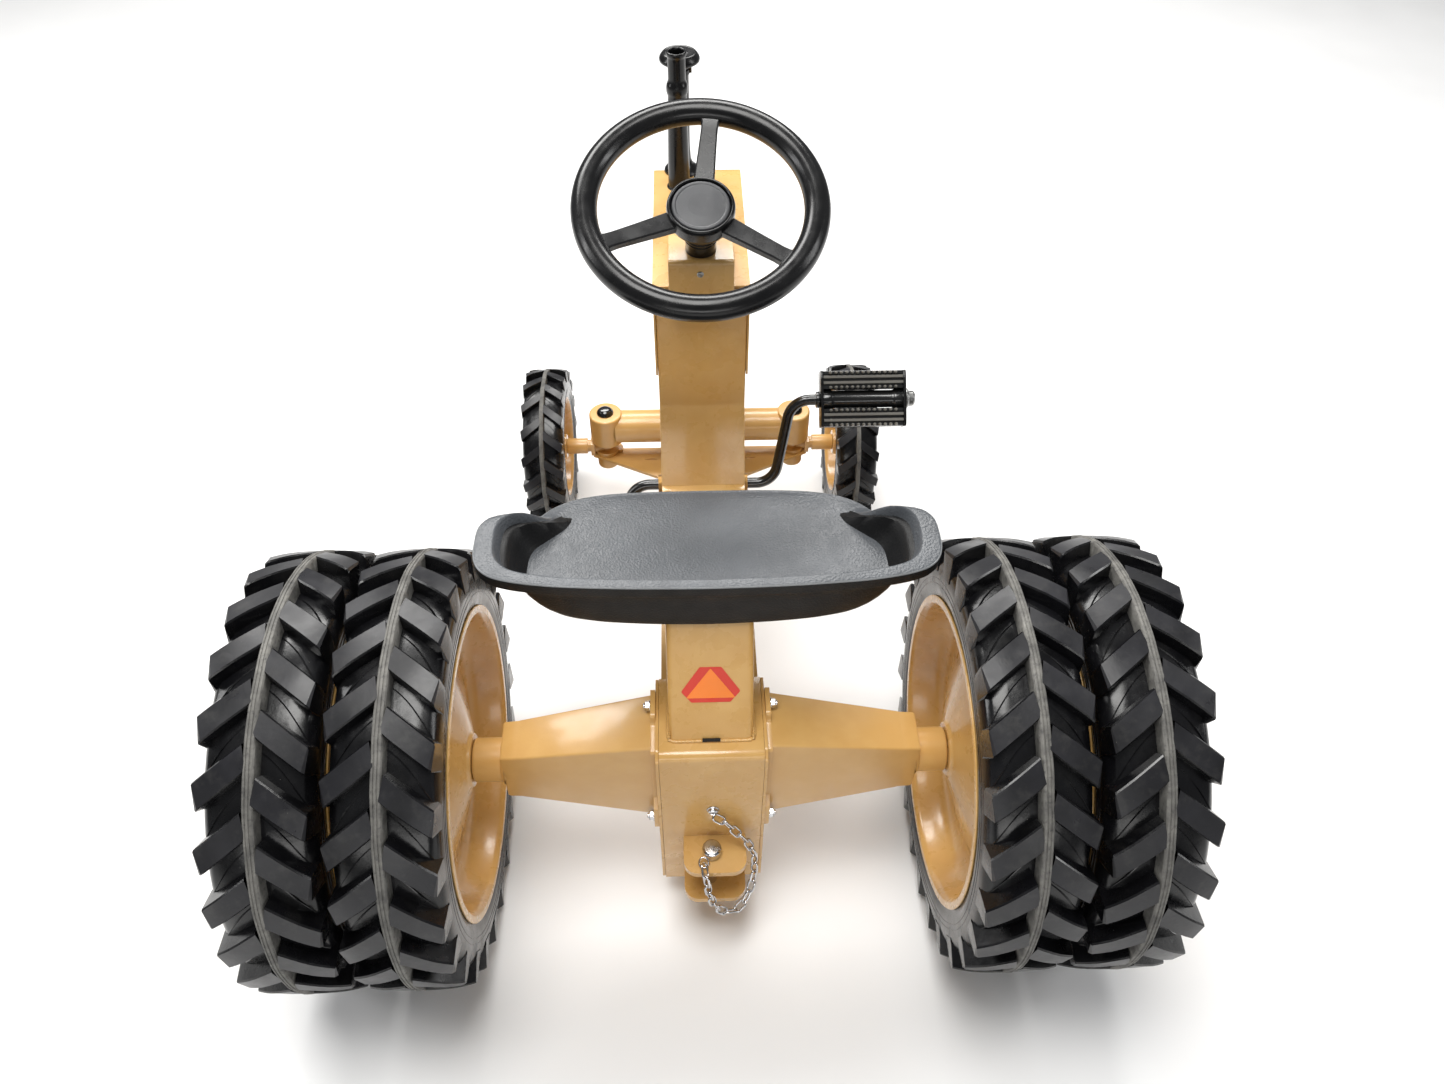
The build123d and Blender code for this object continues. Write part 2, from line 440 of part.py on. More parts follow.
clevis = hitch_plate(117.3, 124.3) + hitch_plate(62.0, 69.0) + block(-30.5, 30.5, BOX_Y0 - 6.0, BOX_Y0, 62.0, 124.3)
clevis = Pos(2.5, 0, 0) * (clevis - rod_z(50, 140, 5.05, -3.0, -62.0))
save("hitch_clevis", clevis)
save("hitch_pin", rod_z(42.0, 125.0, 5.0, -0.5, -62.0)
     + turned_z([(0, 124.6), (9.0, 124.6), (9.4, 126.0), (9.4, 134.5), (8.2, 136.0), (0, 136.0)], -0.5, -62.0))
save("chain_screw", Pos(1.0, 0, 0) * (Pos(0, -44.8, 175) * Rot(90, 0, 0) * Cylinder(5.0, 2.6)
                                     + Pos(0, -48.0, 175) * Rot(90, 0, 0) * Cylinder(2.2, 6.0)))
cpath = FilletPolyline((11.0, -50.2, 168), (23.0, -55.0, 150), (37.5, -58.5, 132), (42.0, -61.0, 110),
                       (41.0, -68.0, 88), (34.0, -84.0, 66), (18.0, -92.5, 57), (4.0, -93.5, 72),
                       (-3.5, -93.8, 98), (-6.0, -93.0, 121), (-7.6, -84.0, 134.0), (-8.6, -76.0, 131.5),
                       radius=[9.5, 8, 9, 10, 9, 8, 8, 9, 7, 4])
cstart = Plane(origin=cpath @ 0, z_dir=cpath % 0)
save("hitch_chain", sweep(cstart * Circle(4.0), path=cpath))

print("written; y shift", round(Y_MID, 3))
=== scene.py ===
import bpy, bmesh, json
from math import sin, cos, tan, pi, radians, sqrt, atan2, hypot
from mathutils import Vector, Matrix, noise


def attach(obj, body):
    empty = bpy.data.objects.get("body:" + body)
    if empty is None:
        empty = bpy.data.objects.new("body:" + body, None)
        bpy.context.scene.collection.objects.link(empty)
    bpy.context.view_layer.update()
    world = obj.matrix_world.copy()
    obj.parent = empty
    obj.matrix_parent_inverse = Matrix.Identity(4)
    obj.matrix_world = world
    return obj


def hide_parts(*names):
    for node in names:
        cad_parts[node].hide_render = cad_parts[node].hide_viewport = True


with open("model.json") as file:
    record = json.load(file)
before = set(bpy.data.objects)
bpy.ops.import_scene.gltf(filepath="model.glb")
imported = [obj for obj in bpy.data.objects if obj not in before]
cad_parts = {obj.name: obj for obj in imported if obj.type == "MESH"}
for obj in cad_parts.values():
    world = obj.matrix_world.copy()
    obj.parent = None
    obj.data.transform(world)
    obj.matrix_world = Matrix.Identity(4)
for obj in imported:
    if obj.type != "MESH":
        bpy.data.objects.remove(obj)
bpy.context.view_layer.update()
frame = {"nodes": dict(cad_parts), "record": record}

scene = bpy.context.scene
MM = 0.001
YM = 225.45          # rear axle to the middle of the object, mm
RR, RF, WB = 203.2, 104.4, 549.7
GROUND = 0.0


# ============================================================ mesh helpers
def finish_mesh(bm, name, mats, body, repl=(), sharp=32.0, bevel=0.0, segs=2, bevel_ang=28.0, weld=True):
    """Millimetres in the rear axle frame to a smooth shaded object in metres."""
    if weld:
        bmesh.ops.remove_doubles(bm, verts=bm.verts, dist=0.004)
    if bevel > 0:
        bm.edges.ensure_lookup_table()
        es = [e for e in bm.edges if len(e.link_faces) == 2 and e.calc_face_angle(0) > radians(bevel_ang)]
        if es:
            bmesh.ops.bevel(bm, geom=es, offset=bevel, segments=segs, profile=0.6, affect='EDGES', clamp_overlap=True)
    bmesh.ops.recalc_face_normals(bm, faces=bm.faces)
    for v in bm.verts:
        v.co = Vector((v.co.x * MM, (v.co.y - YM) * MM, v.co.z * MM))
    me = bpy.data.meshes.new(name)
    bm.to_mesh(me)
    bm.free()
    me.polygons.foreach_set("use_smooth", [True] * len(me.polygons))
    me.set_sharp_from_angle(angle=radians(sharp))
    for m in (mats if isinstance(mats, (list, tuple)) else [mats]):
        me.materials.append(m)
    o = bpy.data.objects.new(name, me)
    scene.collection.objects.link(o)
    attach(o, body)
    if repl:
        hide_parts(*repl)
    return o


def grid_strip(bm, rings, closed=True, mat=0, cap0=False, cap1=False):
    """Skin a list of equal rings of points (mm)."""
    vs = [[bm.verts.new(p) for p in ring] for ring in rings]
    n = len(rings[0])
    for a, b in zip(vs[:-1], vs[1:]):
        for i in range(n if closed else n - 1):
            j = (i + 1) % n
            try:
                f = bm.faces.new((a[i], a[j], b[j], b[i])); f.material_index = mat
            except ValueError:
                pass
    if cap0:
        f = bm.faces.new(list(reversed(vs[0]))); f.material_index = mat
    if cap1:
        f = bm.faces.new(vs[-1]); f.material_index = mat
    return vs


def lathe(bm, profile, frame_m, segs=96, mats=None, closed_profile=False, default=0):
    """Turn (t, r) about the local X axis of frame_m; mats gives a material per profile span."""
    prof = list(profile) + ([profile[0]] if closed_profile else [])
    rings = []
    for t, r in prof:
        if abs(r) < 1e-6:
            rings.append([bm.verts.new(frame_m @ Vector((t, 0, 0)))])
        else:
            rings.append([bm.verts.new(frame_m @ Vector((t, r * cos(2 * pi * k / segs), r * sin(2 * pi * k / segs)))) for k in range(segs)])
    for i in range(len(prof) - 1):
        a, b = rings[i], rings[i + 1]
        mi = mats[i] if mats else default
        for k in range(segs):
            j = (k + 1) % segs
            if len(a) == 1 and len(b) == 1:
                continue
            if len(a) == 1:
                f = bm.faces.new((a[0], b[j], b[k]))
            elif len(b) == 1:
                f = bm.faces.new((a[k], a[j], b[0]))
            else:
                f = bm.faces.new((a[k], a[j], b[j], b[k]))
            f.material_index = mi


def round_profile(pts, radii, n=4):
    """Round the corners of an open (t, r) profile. radii is one number or one per inner point."""
    out = [pts[0]]
    for i in range(1, len(pts) - 1):
        rad = radii if not isinstance(radii, (list, tuple)) else radii[i - 1]
        p0, p1, p2 = Vector(pts[i - 1]), Vector(pts[i]), Vector(pts[i + 1])
        a, b = p0 - p1, p2 - p1
        la, lb = a.length, b.length
        if rad <= 0 or la < 1e-6 or lb < 1e-6:
            out.append(tuple(p1)); continue
        d = min(rad, la * 0.48, lb * 0.48)
        q0, q2 = p1 + a / la * d, p1 + b / lb * d
        for k in range(n + 1):
            u = k / n
            q = q0 * (1 - u) ** 2 + p1 * 2 * u * (1 - u) + q2 * u ** 2
            out.append(tuple(q))
    out.append(pts[-1])
    return out


def block(bm, x0, x1, y0, y1, z0, z1, m=None, mat=0):
    m = m or Matrix.Identity(4)
    v = [bm.verts.new(m @ Vector((x, y, z))) for x in (x0, x1) for y in (y0, y1) for z in (z0, z1)]
    for q in ((0, 1, 3, 2), (4, 6, 7, 5), (0, 4, 5, 1), (2, 3, 7, 6), (0, 2, 6, 4), (1, 5, 7, 3)):
        bm.faces.new([v[i] for i in q]).material_index = mat
    return v


def prism(bm, pts, a0, a1, axis='x', m=None, mat=0):
    """Extrude a polygon. axis x: pts are (y, z); axis z: (x, y); axis y: (x, z)."""
    m = m or Matrix.Identity(4)

    def at(p, a):
        return {'x': (a, p[0], p[1]), 'y': (p[0], a, p[1]), 'z': (p[0], p[1], a)}[axis]
    r0 = [bm.verts.new(m @ Vector(at(p, a0))) for p in pts]
    r1 = [bm.verts.new(m @ Vector(at(p, a1))) for p in pts]
    n = len(pts)
    for i in range(n):
        j = (i + 1) % n
        bm.faces.new((r0[i], r0[j], r1[j], r1[i])).material_index = mat
    bm.faces.new(list(reversed(r0))).material_index = mat
    bm.faces.new(r1).material_index = mat


def rounded_poly(pts, rad, n=4):
    """Round every corner of a closed polygon."""
    out = []
    N = len(pts)
    for i in range(N):
        r = rad[i] if isinstance(rad, (list, tuple)) else rad
        p0, p1, p2 = Vector(pts[i - 1]), Vector(pts[i]), Vector(pts[(i + 1) % N])
        a, b = p0 - p1, p2 - p1
        la, lb = a.length, b.length
        if r <= 0:
            out.append(tuple(p1)); continue
        ang = a.angle(b)
        d = min(r / tan(ang / 2), la * 0.49, lb * 0.49)
        q0, q2 = p1 + a / la * d, p1 + b / lb * d
        for k in range(n + 1):
            u = k / n
            q = q0 * (1 - u) ** 2 + p1 * 2 * u * (1 - u) + q2 * u ** 2
            out.append(tuple(q))
    return out


def place(x, y, z, rx=0.0, ry=0.0, rz=0.0):
    return Matrix.Translation((x, y, z)) @ Matrix.Rotation(radians(rz), 4, 'Z') @ Matrix.Rotation(radians(ry), 4, 'Y') @ Matrix.Rotation(radians(rx), 4, 'X')


def xframe(x, y, z, side=1):
    """Local X runs outboard."""
    return Matrix.Translation((x, y, z)) @ (Matrix.Identity(4) if side > 0 else Matrix.Scale(-1, 4, (1, 0, 0)))


def zframe(x, y, z=0.0):
    """Local X runs up."""
    return Matrix.Translation((x, y, z)) @ Matrix.Rotation(-pi / 2, 4, 'Y')


def yframe(x, y, z, back=True):
    """Local X runs backwards (-Y)."""
    return Matrix.Translation((x, y, z)) @ Matrix.Rotation(-pi / 2 if back else pi / 2, 4, 'Z')


def tube(bm, pts, radius, segs=20, mat=0, caps=True):
    """A round tube along a list of points (mm), with parallel frames."""
    P = [Vector(p) for p in pts]
    T = []
    for i in range(len(P)):
        a = P[min(i + 1, len(P) - 1)] - P[max(i - 1, 0)]
        T.append(a.normalized())
    ref = Vector((0, 0, 1)) if abs(T[0].z) < 0.9 else Vector((0, 1, 0))
    N = (ref - T[0] * ref.dot(T[0])).normalized()
    rings = []
    for i, p in enumerate(P):
        N = (N - T[i] * N.dot(T[i])).normalized()
        B = T[i].cross(N)
        r = radius[i] if isinstance(radius, (list, tuple)) else radius
        rings.append([p + (N * cos(2 * pi * k / segs) + B * sin(2 * pi * k / segs)) * r for k in range(segs)])
    grid_strip(bm, rings, True, mat, caps, caps)


def smooth_path(pts, rad, n=8):
    """Rounded polyline in 3-D."""
    out = [Vector(pts[0])]
    for i in range(1, len(pts) - 1):
        p0, p1, p2 = Vector(pts[i - 1]), Vector(pts[i]), Vector(pts[i + 1])
        a, b = (p0 - p1), (p2 - p1)
        la, lb = a.length, b.length
        ang = a.angle(b)
        d = min(rad / max(tan(ang / 2), 1e-3), la * 0.49, lb * 0.49)
        R = d * tan(ang / 2)
        a.normalize(); b.normalize()
        c = p1 + (a + b).normalized() * (R / sin(ang / 2))
        q0, q2 = p1 + a * d, p1 + b * d
        v0, v2 = q0 - c, q2 - c
        tot = v0.angle(v2)
        for k in range(n + 1):
            u = k / n
            v = (v0 * sin((1 - u) * tot) + v2 * sin(u * tot)) / sin(tot) if tot > 1e-4 else v0
            out.append(c + v)
    out.append(Vector(pts[-1]))
    return out


def refine(node, mats, bevel=0.6, body=None, sharp=34.0, segs=2, name=None, ang=28.0):
    """A finished copy of a CAD node: welded, flats merged, edges broken."""
    src = frame["nodes"][node]
    bm = bmesh.new()
    bm.from_mesh(src.data)
    bmesh.ops.transform(bm, matrix=src.matrix_world, verts=bm.verts)
    for v in bm.verts:
        v.co = Vector((v.co.x / MM, v.co.y / MM + YM, v.co.z / MM))
    bmesh.ops.remove_doubles(bm, verts=bm.verts, dist=0.01)
    bmesh.ops.dissolve_limit(bm, angle_limit=radians(1.0), verts=bm.verts, edges=bm.edges)
    if bevel > 0:
        es = [e for e in bm.edges if len(e.link_faces) == 2 and e.calc_face_angle(0) > radians(ang)]
        bmesh.ops.bevel(bm, geom=es, offset=bevel, segments=segs, profile=0.6, affect='EDGES', clamp_overlap=True)
    bmesh.ops.triangulate(bm, faces=[f for f in bm.faces if len(f.verts) > 4])
    return finish_mesh(bm, name or node + ".fine", mats, body or BODY[node], (node,), sharp, weld=False)


BODY = {}
for b, ns in frame["record"]["behaviour"]["bodies"].items():
    for n in ns:
        BODY[n] = b


# =============================================================== materials
class M:
    """A small builder for node materials in object space (metres)."""

    def __init__(self, name, **sock):
        self.m = bpy.data.materials.new(name)
        self.m.use_nodes = True
        self.t = self.m.node_tree
        self.t.nodes.clear()
        self.out = self.t.nodes.new("ShaderNodeOutputMaterial")
        self.b = self.t.nodes.new("ShaderNodeBsdfPrincipled")
        self.t.links.new(self.b.outputs[0], self.out.inputs[0])
        self.co = self.t.nodes.new("ShaderNodeTexCoord").outputs["Object"]
        for k, v in sock.items():
            self.b.inputs[k.replace("_", " ")].default_value = v

    def set(self, name, v):
        self.b.inputs[name].default_value = v

    def map(self, scale=(1, 1, 1)):
        n = self.t.nodes.new("ShaderNodeMapping")
        n.inputs["Scale"].default_value = scale
        self.t.links.new(self.co, n.inputs[0])
        return n.outputs[0]

    def noise(self, scale, detail=4.0, rough=0.5, co=None, dist=0.0):
        n = self.t.nodes.new("ShaderNodeTexNoise")
        n.inputs["Scale"].default_value = scale
        n.inputs["Detail"].default_value = detail
        n.inputs["Roughness"].default_value = rough
        n.inputs["Distortion"].default_value = dist
        self.t.links.new(co or self.co, n.inputs["Vector"])
        return n.outputs["Fac"]

    def voronoi(self, scale, feature='F1', co=None, out="Distance"):
        n = self.t.nodes.new("ShaderNodeTexVoronoi")
        n.feature = feature
        n.inputs["Scale"].default_value = scale
        self.t.links.new(co or self.co, n.inputs["Vector"])
        return n.outputs[out]

    def ramp(self, fac, stops, interp='LINEAR'):
        n = self.t.nodes.new("ShaderNodeValToRGB")
        n.color_ramp.interpolation = interp
        els = n.color_ramp.elements
        while len(els) < len(stops):
            els.new(0.5)
        for e, (p, c) in zip(els, stops):
            e.position = p
            e.color = (*c, 1) if isinstance(c, (tuple, list)) else (c, c, c, 1)
        self.t.links.new(fac, n.inputs[0])
        return n.outputs[0]

    def mix(self, fac, a, b, mode='MIX'):
        n = self.t.nodes.new("ShaderNodeMix")
        n.data_type = 'RGBA'
        n.blend_type = mode
        for s, v in ((0, fac), (6, a), (7, b)):
            if hasattr(v, "is_output") or isinstance(v, bpy.types.NodeSocket):
                self.t.links.new(v, n.inputs[s])
            elif s == 0:
                n.inputs[0].default_value = v
            else:
                n.inputs[s].default_value = (*v, 1)
        return n.outputs[2]

    def math(self, op, a, b=0.0, clamp=False):
        n = self.t.nodes.new("ShaderNodeMath")
        n.operation = op
        n.use_clamp = clamp
        for s, v in ((0, a), (1, b)):
            if isinstance(v, bpy.types.NodeSocket):
                self.t.links.new(v, n.inputs[s])
            else:
                n.inputs[s].default_value = v
        return n.outputs[0]

    def color(self, s):
        self.t.links.new(s, self.b.inputs["Base Color"])

    def rough(self, s):
        self.t.links.new(s, self.b.inputs["Roughness"])

    def bump(self, height, strength, dist, chain=None):
        n = self.t.nodes.new("ShaderNodeBump")
        n.inputs["Strength"].default_value = strength
        n.inputs["Distance"].default_value = dist
        self.t.links.new(height, n.inputs["Height"])
        if chain is not None:
            self.t.links.new(chain, n.inputs["Normal"])
        self.t.links.new(n.outputs[0], self.b.inputs["Normal"])
        return n.outputs[0]

    def xyz(self):
        n = self.t.nodes.new("ShaderNodeSeparateXYZ")
        self.t.links.new(self.co, n.inputs[0])
        return n.outputs


def s2l(r, g, b):
    return tuple(((c / 255) / 12.92 if c / 255 <= 0.04045 else ((c / 255 + 0.055) / 1.055) ** 2.4) for c in (r, g, b))


def gold_paint(name="tan_gold_paint", rough=0.27):
    m = M(name)
    base, dark, lite = s2l(205, 162, 96), s2l(197, 153, 87), s2l(213, 173, 108)
    cloud = m.noise(9.0, 5, 0.55)
    c = m.mix(m.ramp(cloud, [(0.3, 0.0), (0.75, 1.0)]), dark, base)
    c = m.mix(m.ramp(m.noise(34.0, 3, 0.5), [(0.45, 0.0), (0.8, 0.55)]), c, lite)
    grime = m.ramp(m.noise(160.0, 6, 0.7), [(0.64, 0.0), (0.76, 0.4)])
    c = m.mix(m.math('MULTIPLY', grime, m.ramp(m.noise(14.0, 2), [(0.5, 0.0), (0.7, 1.0)])), c, s2l(172, 132, 74))
    chips = m.ramp(m.voronoi(85.0), [(0.035, 1.0), (0.05, 0.0)])
    gate = m.ramp(m.noise(21.0, 2), [(0.66, 0.0), (0.7, 1.0)])
    c = m.mix(m.math('MULTIPLY', chips, gate), c, s2l(236, 205, 150))
    m.color(c)
    m.rough(m.ramp(m.noise(55.0, 4), [(0.3, rough - 0.05), (0.8, rough + 0.13)]))
    n = m.bump(m.noise(420.0, 2, 0.4), 0.10, 0.0006)
    m.bump(m.noise(70.0, 3, 0.5), 0.06, 0.0012, n)
    m.set("Coat Weight", 0.35); m.set("Coat Roughness", 0.12)
    m.set("Specular IOR Level", 0.55)
    return m.m


def black_rubber(name, lo=0.16, hi=0.42, base=(20, 20, 22), dust=0.12):
    m = M(name)
    c = m.mix(m.ramp(m.noise(26.0, 4), [(0.3, 0.0), (0.8, 1.0)]), s2l(*base), s2l(base[0] + 11, base[1] + 11, base[2] + 13))
    d = m.ramp(m.noise(70.0, 8, 0.68), [(0.52, 0.0), (0.75, dust)])
    c = m.mix(d, c, s2l(122, 120, 114))
    spk = m.ramp(m.voronoi(210.0), [(0.03, 1.0), (0.055, 0.0)])
    gate = m.ramp(m.noise(40.0, 2), [(0.6, 0.0), (0.66, 0.8)])
    c = m.mix(m.math('MULTIPLY', spk, gate), c, s2l(150, 146, 136))
    m.color(c)
    m.rough(m.ramp(m.noise(38.0, 5, 0.6), [(0.3, lo), (0.75, hi)]))
    n = m.bump(m.noise(260.0, 4, 0.55), 0.14, 0.0006)
    m.bump(m.noise(48.0, 3), 0.10, 0.0016, n)
    m.set("Specular IOR Level", 0.4)
    return m.m


def worn_rubber(name, a=(66, 65, 63), b=(124, 122, 117)):
    m = M(name)
    streak = m.noise(60.0, 8, 0.7)
    c = m.mix(m.ramp(streak, [(0.3, 0.0), (0.72, 1.0)]), s2l(*a), s2l(*b))
    c = m.mix(m.ramp(m.noise(300.0, 3), [(0.55, 0.0), (0.72, 0.65)]), c, s2l(52, 52, 52))
    m.color(c)
    m.rough(m.ramp(m.noise(90.0, 3), [(0.3, 0.62), (0.8, 0.85)]))
    n = m.bump(m.noise(520.0, 5, 0.7), 0.45, 0.0008)
    m.bump(m.noise(120.0, 4), 0.25, 0.0012, n)
    return m.m


def plastic(name, base, rough, grain=900.0, strength=0.18, depth=0.0004, spec=0.5, coat=0.0, dust=0.10, wrinkle=0.8):
    m = M(name)
    b = s2l(*base)
    l = tuple(min(1, v * 1.35 + 0.004) for v in b)
    c = m.mix(m.ramp(m.noise(18.0, 5), [(0.35, 0.0), (0.8, 1.0)]), b, l)
    c = m.mix(m.ramp(m.noise(120.0, 8, 0.7), [(0.6, 0.0), (0.8, dust)]), c, s2l(150, 148, 142))
    m.color(c)
    m.rough(m.ramp(m.noise(60.0, 4), [(0.3, rough - 0.06), (0.8, rough + 0.08)]))
    g = m.math('ADD', m.voronoi(grain, 'SMOOTH_F1'), m.math('MULTIPLY', m.noise(grain * 0.55, 3), wrinkle))
    m.bump(g, strength, depth)
    m.set("Specular IOR Level", spec)
    if coat:
        m.set("Coat Weight", coat); m.set("Coat Roughness", 0.15)
    return m.m


def metal(name, base, rough, scratch=0.25, noise_scale=80.0):
    m = M(name)
    m.set("Metallic", 1.0)
    b = s2l(*base)
    c = m.mix(m.ramp(m.noise(noise_scale, 5), [(0.3, 0.0), (0.8, 1.0)]), tuple(v * 0.72 for v in b), b)
    m.color(c)
    m.rough(m.ramp(m.noise(noise_scale * 2.3, 6, 0.7), [(0.3, rough), (0.8, rough + scratch)]))
    m.bump(m.noise(noise_scale * 6, 4, 0.6), 0.08, 0.0004)
    return m.m


def film(name, base):
    m = M(name)
    b = s2l(*base)
    c = m.mix(m.ramp(m.noise(30.0, 4), [(0.35, 0.0), (0.75, 1.0)]), tuple(v * 0.9 for v in b), b)
    m.color(c)
    m.rough(m.ramp(m.noise(110.0, 3), [(0.3, 0.28), (0.8, 0.42)]))
    m.bump(m.voronoi(700.0), 0.12, 0.0003)
    m.set("Coat Weight", 0.4); m.set("Coat Roughness", 0.2)
    return m.m


GOLD = gold_paint()
GOLD_CAST = gold_paint("tan_gold_cast", 0.33)
RUBBER = black_rubber("tyre_rubber", 0.14, 0.36, (8, 8, 9), 0.03)
# lighter rubber for the lug tops: more dust, plus a raised base colour that is a painted sheen
LUG_TOP_DUST_AND_SHEEN = black_rubber("tyre_lug_top_dust_and_painted_sheen", 0.26, 0.46, (25, 25, 27), 0.10)
RIDGE = worn_rubber("tyre_ridge_worn")
SEATM = plastic("seat_plastic", (68, 71, 75), 0.40, 560.0, 0.62, 0.0007, 0.5, 0.0, 0.06, 0.12)
# seat rim edge: lighter, glossier plastic, partly wear and partly a painted highlight along the rounded edge
SEAT_EDGE_WEAR_AND_HIGHLIGHT = plastic("seat_edge_wear_and_painted_highlight", (118, 120, 122), 0.28, 700.0, 0.15, 0.0003, 0.6)
# a darker copy of the seat plastic for the undercut skirt and underside: painted shade
SEAT_SKIRT_SHADE = plastic("seat_skirt_painted_shade", (11, 11, 12), 0.50, 560.0, 0.4, 0.0006, 0.25, 0.0, 0.05, 0.12)
SATIN = plastic("satin_black", (12, 12, 13), 0.24, 1200.0, 0.08, 0.0003, 0.36, 0.0, 0.05, 0.3)
SPOKE = plastic("spoke_black", (22, 22, 23), 0.27, 1100.0, 0.14, 0.0003, 0.5, 0.0, 0.06, 0.3)
CAPM = plastic("hub_cap_grey", (44, 45, 48), 0.42, 900.0, 0.16, 0.0003)
GLOSSB = plastic("gloss_black_paint", (12, 12, 12), 0.20, 500.0, 0.04, 0.0004, 0.5, 0.5)
PEDALM = plastic("pedal_rubber", (24, 24, 24), 0.20, 800.0, 0.10, 0.0003, 0.6, 0.3, 0.12)
# lighter grey rubber for the rib crowns and studs: a painted highlight
PEDAL_CROWN_HIGHLIGHT = plastic("pedal_rubber_painted_highlight", (104, 102, 97), 0.22, 700.0, 0.14, 0.0003, 0.7, 0.4, 0.3)
CHROME = metal("bright_chrome", (222, 222, 224), 0.08, 0.16, 140.0)
STEEL = metal("zinc_steel", (168, 168, 166), 0.26, 0.24, 60.0)
BRONZE = metal("sintered_bronze", (176, 138, 84), 0.4, 0.2, 90.0)
ORANGE = film("triangle_orange", (250, 132, 34))
REDF = film("triangle_red", (214, 48, 26))
# near-black fill standing in for the inside of a gap: painted shade
GAP_SHADE_BLACK = plastic("gap_painted_shade", (10, 9, 8), 0.7, 300.0, 0.1, 0.0004)


# ================================================================== tyres
def tyre(name, xc, side, yc, zc, R, half, ridge, lugs, bar, body, node, carc, bead_r, ang=38.0, root=6.0):
    bm = bmesh.new()
    F = xframe(side * xc, yc, zc, side)
    h = half
    # carcass: bead, sidewall band, shoulder, crown under the lugs
    prof = [(h - 2.7, bead_r + 0.3), (h - 2.5, bead_r + R * 0.042), (h - 0.2, bead_r + R * 0.075),
            (h - 0.1, bead_r + (carc - bead_r) * 0.62), (h - 1.6, carc - R * 0.050), (h - 6.0 * h / 44, carc - R * 0.022),
            (h * 0.62, carc - R * 0.004), (h * 0.3, carc), (ridge * 0.9, carc)]
    prof = round_profile(prof, 7.0 * R / 203, 5)
    full = prof + [(-t, r) for t, r in reversed(prof)]
    lathe(bm, full, F, 180)
    # inner wall, so that no open shell shows behind the rim
    lathe(bm, [(h - 2.7, bead_r + 0.3), (h - 10 * h / 44, bead_r + 0.3)], F, 120)
    lathe(bm, [(-(h - 2.7), bead_r + 0.3), (-(h - 10 * h / 44), bead_r + 0.3)], F, 120)
    # moulded lines on the sidewall
    for rr in (bead_r + R * 0.10, bead_r + R * 0.125):
        for s in (1, -1):
            lathe(bm, [(s * (h - 1.2), rr - 0.9), (s * (h + 0.1), rr - 0.35), (s * (h + 0.1), rr + 0.35), (s * (h - 1.2), rr + 0.9)], F, 160)
    # centre ridge: raised, worn, with a fine groove either side of its middle
    w = ridge / 2
    k = R / 203.2
    rp = [(-w - 1.6 * k, carc - 1), (-w - 0.7 * k, R - 2.2 * k), (-w + 0.3 * k, R - 0.6 * k), (-w * 0.55, R - 0.15), (-w * 0.45, R - 0.9 * k),
          (-w * 0.30, R - 0.9 * k), (-w * 0.22, R - 0.1), (w * 0.22, R - 0.1), (w * 0.30, R - 0.9 * k), (w * 0.45, R - 0.9 * k),
          (w * 0.55, R - 0.15), (w - 0.3 * k, R - 0.6 * k), (w + 0.7 * k, R - 2.2 * k), (w + 1.6 * k, carc - 1)]
    segs = 240
    rings = []
    for i, (t, r) in enumerate(rp):
        ring = []
        for q in range(segs):
            a = 2 * pi * q / segs
            j = noise.noise(Vector((t * 0.25 + xc, 18 * cos(a), 18 * sin(a)))) if 1 < i < len(rp) - 2 else 0
            jt = noise.noise(Vector((xc * 1.7, 7 * cos(a), 7 * sin(a) + 5))) * 0.55 * k if 1 <= i <= len(rp) - 2 else 0
            ring.append(F @ Vector((t + jt, (r - abs(j) * 0.8 * k) * cos(a), (r - abs(j) * 0.8 * k) * sin(a))))
        rings.append(ring)
    grid_strip(bm, rings, True, 1)
    # lugs
    ca, sa = cos(radians(ang)), sin(radians(ang))
    top0 = R - 0.2
    cross = [(-bar / 2 - 1.3 * k, None), (-bar / 2 - 0.15 * k, -1.4 * k), (-bar / 2 + 0.9 * k, 0.0), (bar / 2 - 0.9 * k, 0.0),
             (bar / 2 + 0.15 * k, -1.4 * k), (bar / 2 + 1.3 * k, None)]

    def carc_at(t):
        t = abs(t)
        if t < h * 0.62:
            return carc
        if t < h - 6.0 * h / 44:
            return carc - (t - h * 0.62) / (h * 0.38 - 6.0 * h / 44) * R * 0.022
        return carc - R * 0.022 - (t - (h - 6.0 * h / 44)) * 0.9

    def top_at(t):
        u = max(0.0, (abs(t) - ridge / 2) / (h - ridge / 2))
        return top0 - 0.4 * k - 1.2 * k * u - 7.2 * k * max(0.0, u - 0.45) ** 1.7
    outer = h - 0.2
    steps = [root * k * 0.6, h * 0.25, h * 0.45, h * 0.62, h * 0.76, h * 0.88, outer - 2.2 * k, outer]
    for s in (1, -1):
        for i in range(lugs):
            phi0 = 2 * pi * (i + (0.0 if s > 0 else 0.5)) / lugs
            rings = []
            for si, t in enumerate(steps):
                ring = []
                tt = top_at(t) - (1.6 * k if si == len(steps) - 1 else 0)
                for wv, drop in cross:
                    # across the bar
                    tl = t - wv * sa * 0.45
                    tl = min(max(tl, ridge / 2 * 0.5), outer + 0.15)
                    arc = (t - ridge / 2) * tan(radians(ang)) + wv / ca * 0.92
                    rad = (carc_at(tl) - 3.0 * k) if drop is None else tt + drop
                    a = phi0 + arc / R
                    ring.append(F @ Vector((s * tl, rad * cos(a), rad * sin(a))))
                rings.append(ring)
            vs = [[bm.verts.new(p) for p in ring] for ring in rings]
            for r_i in range(len(vs) - 1):
                for c_i in range(len(cross) - 1):
                    f = bm.faces.new((vs[r_i][c_i], vs[r_i][c_i + 1], vs[r_i + 1][c_i + 1], vs[r_i + 1][c_i]))
                    # the top face of each lug takes the lighter rubber: dust and painted sheen
                    f.material_index = 2 if c_i == 2 else 0
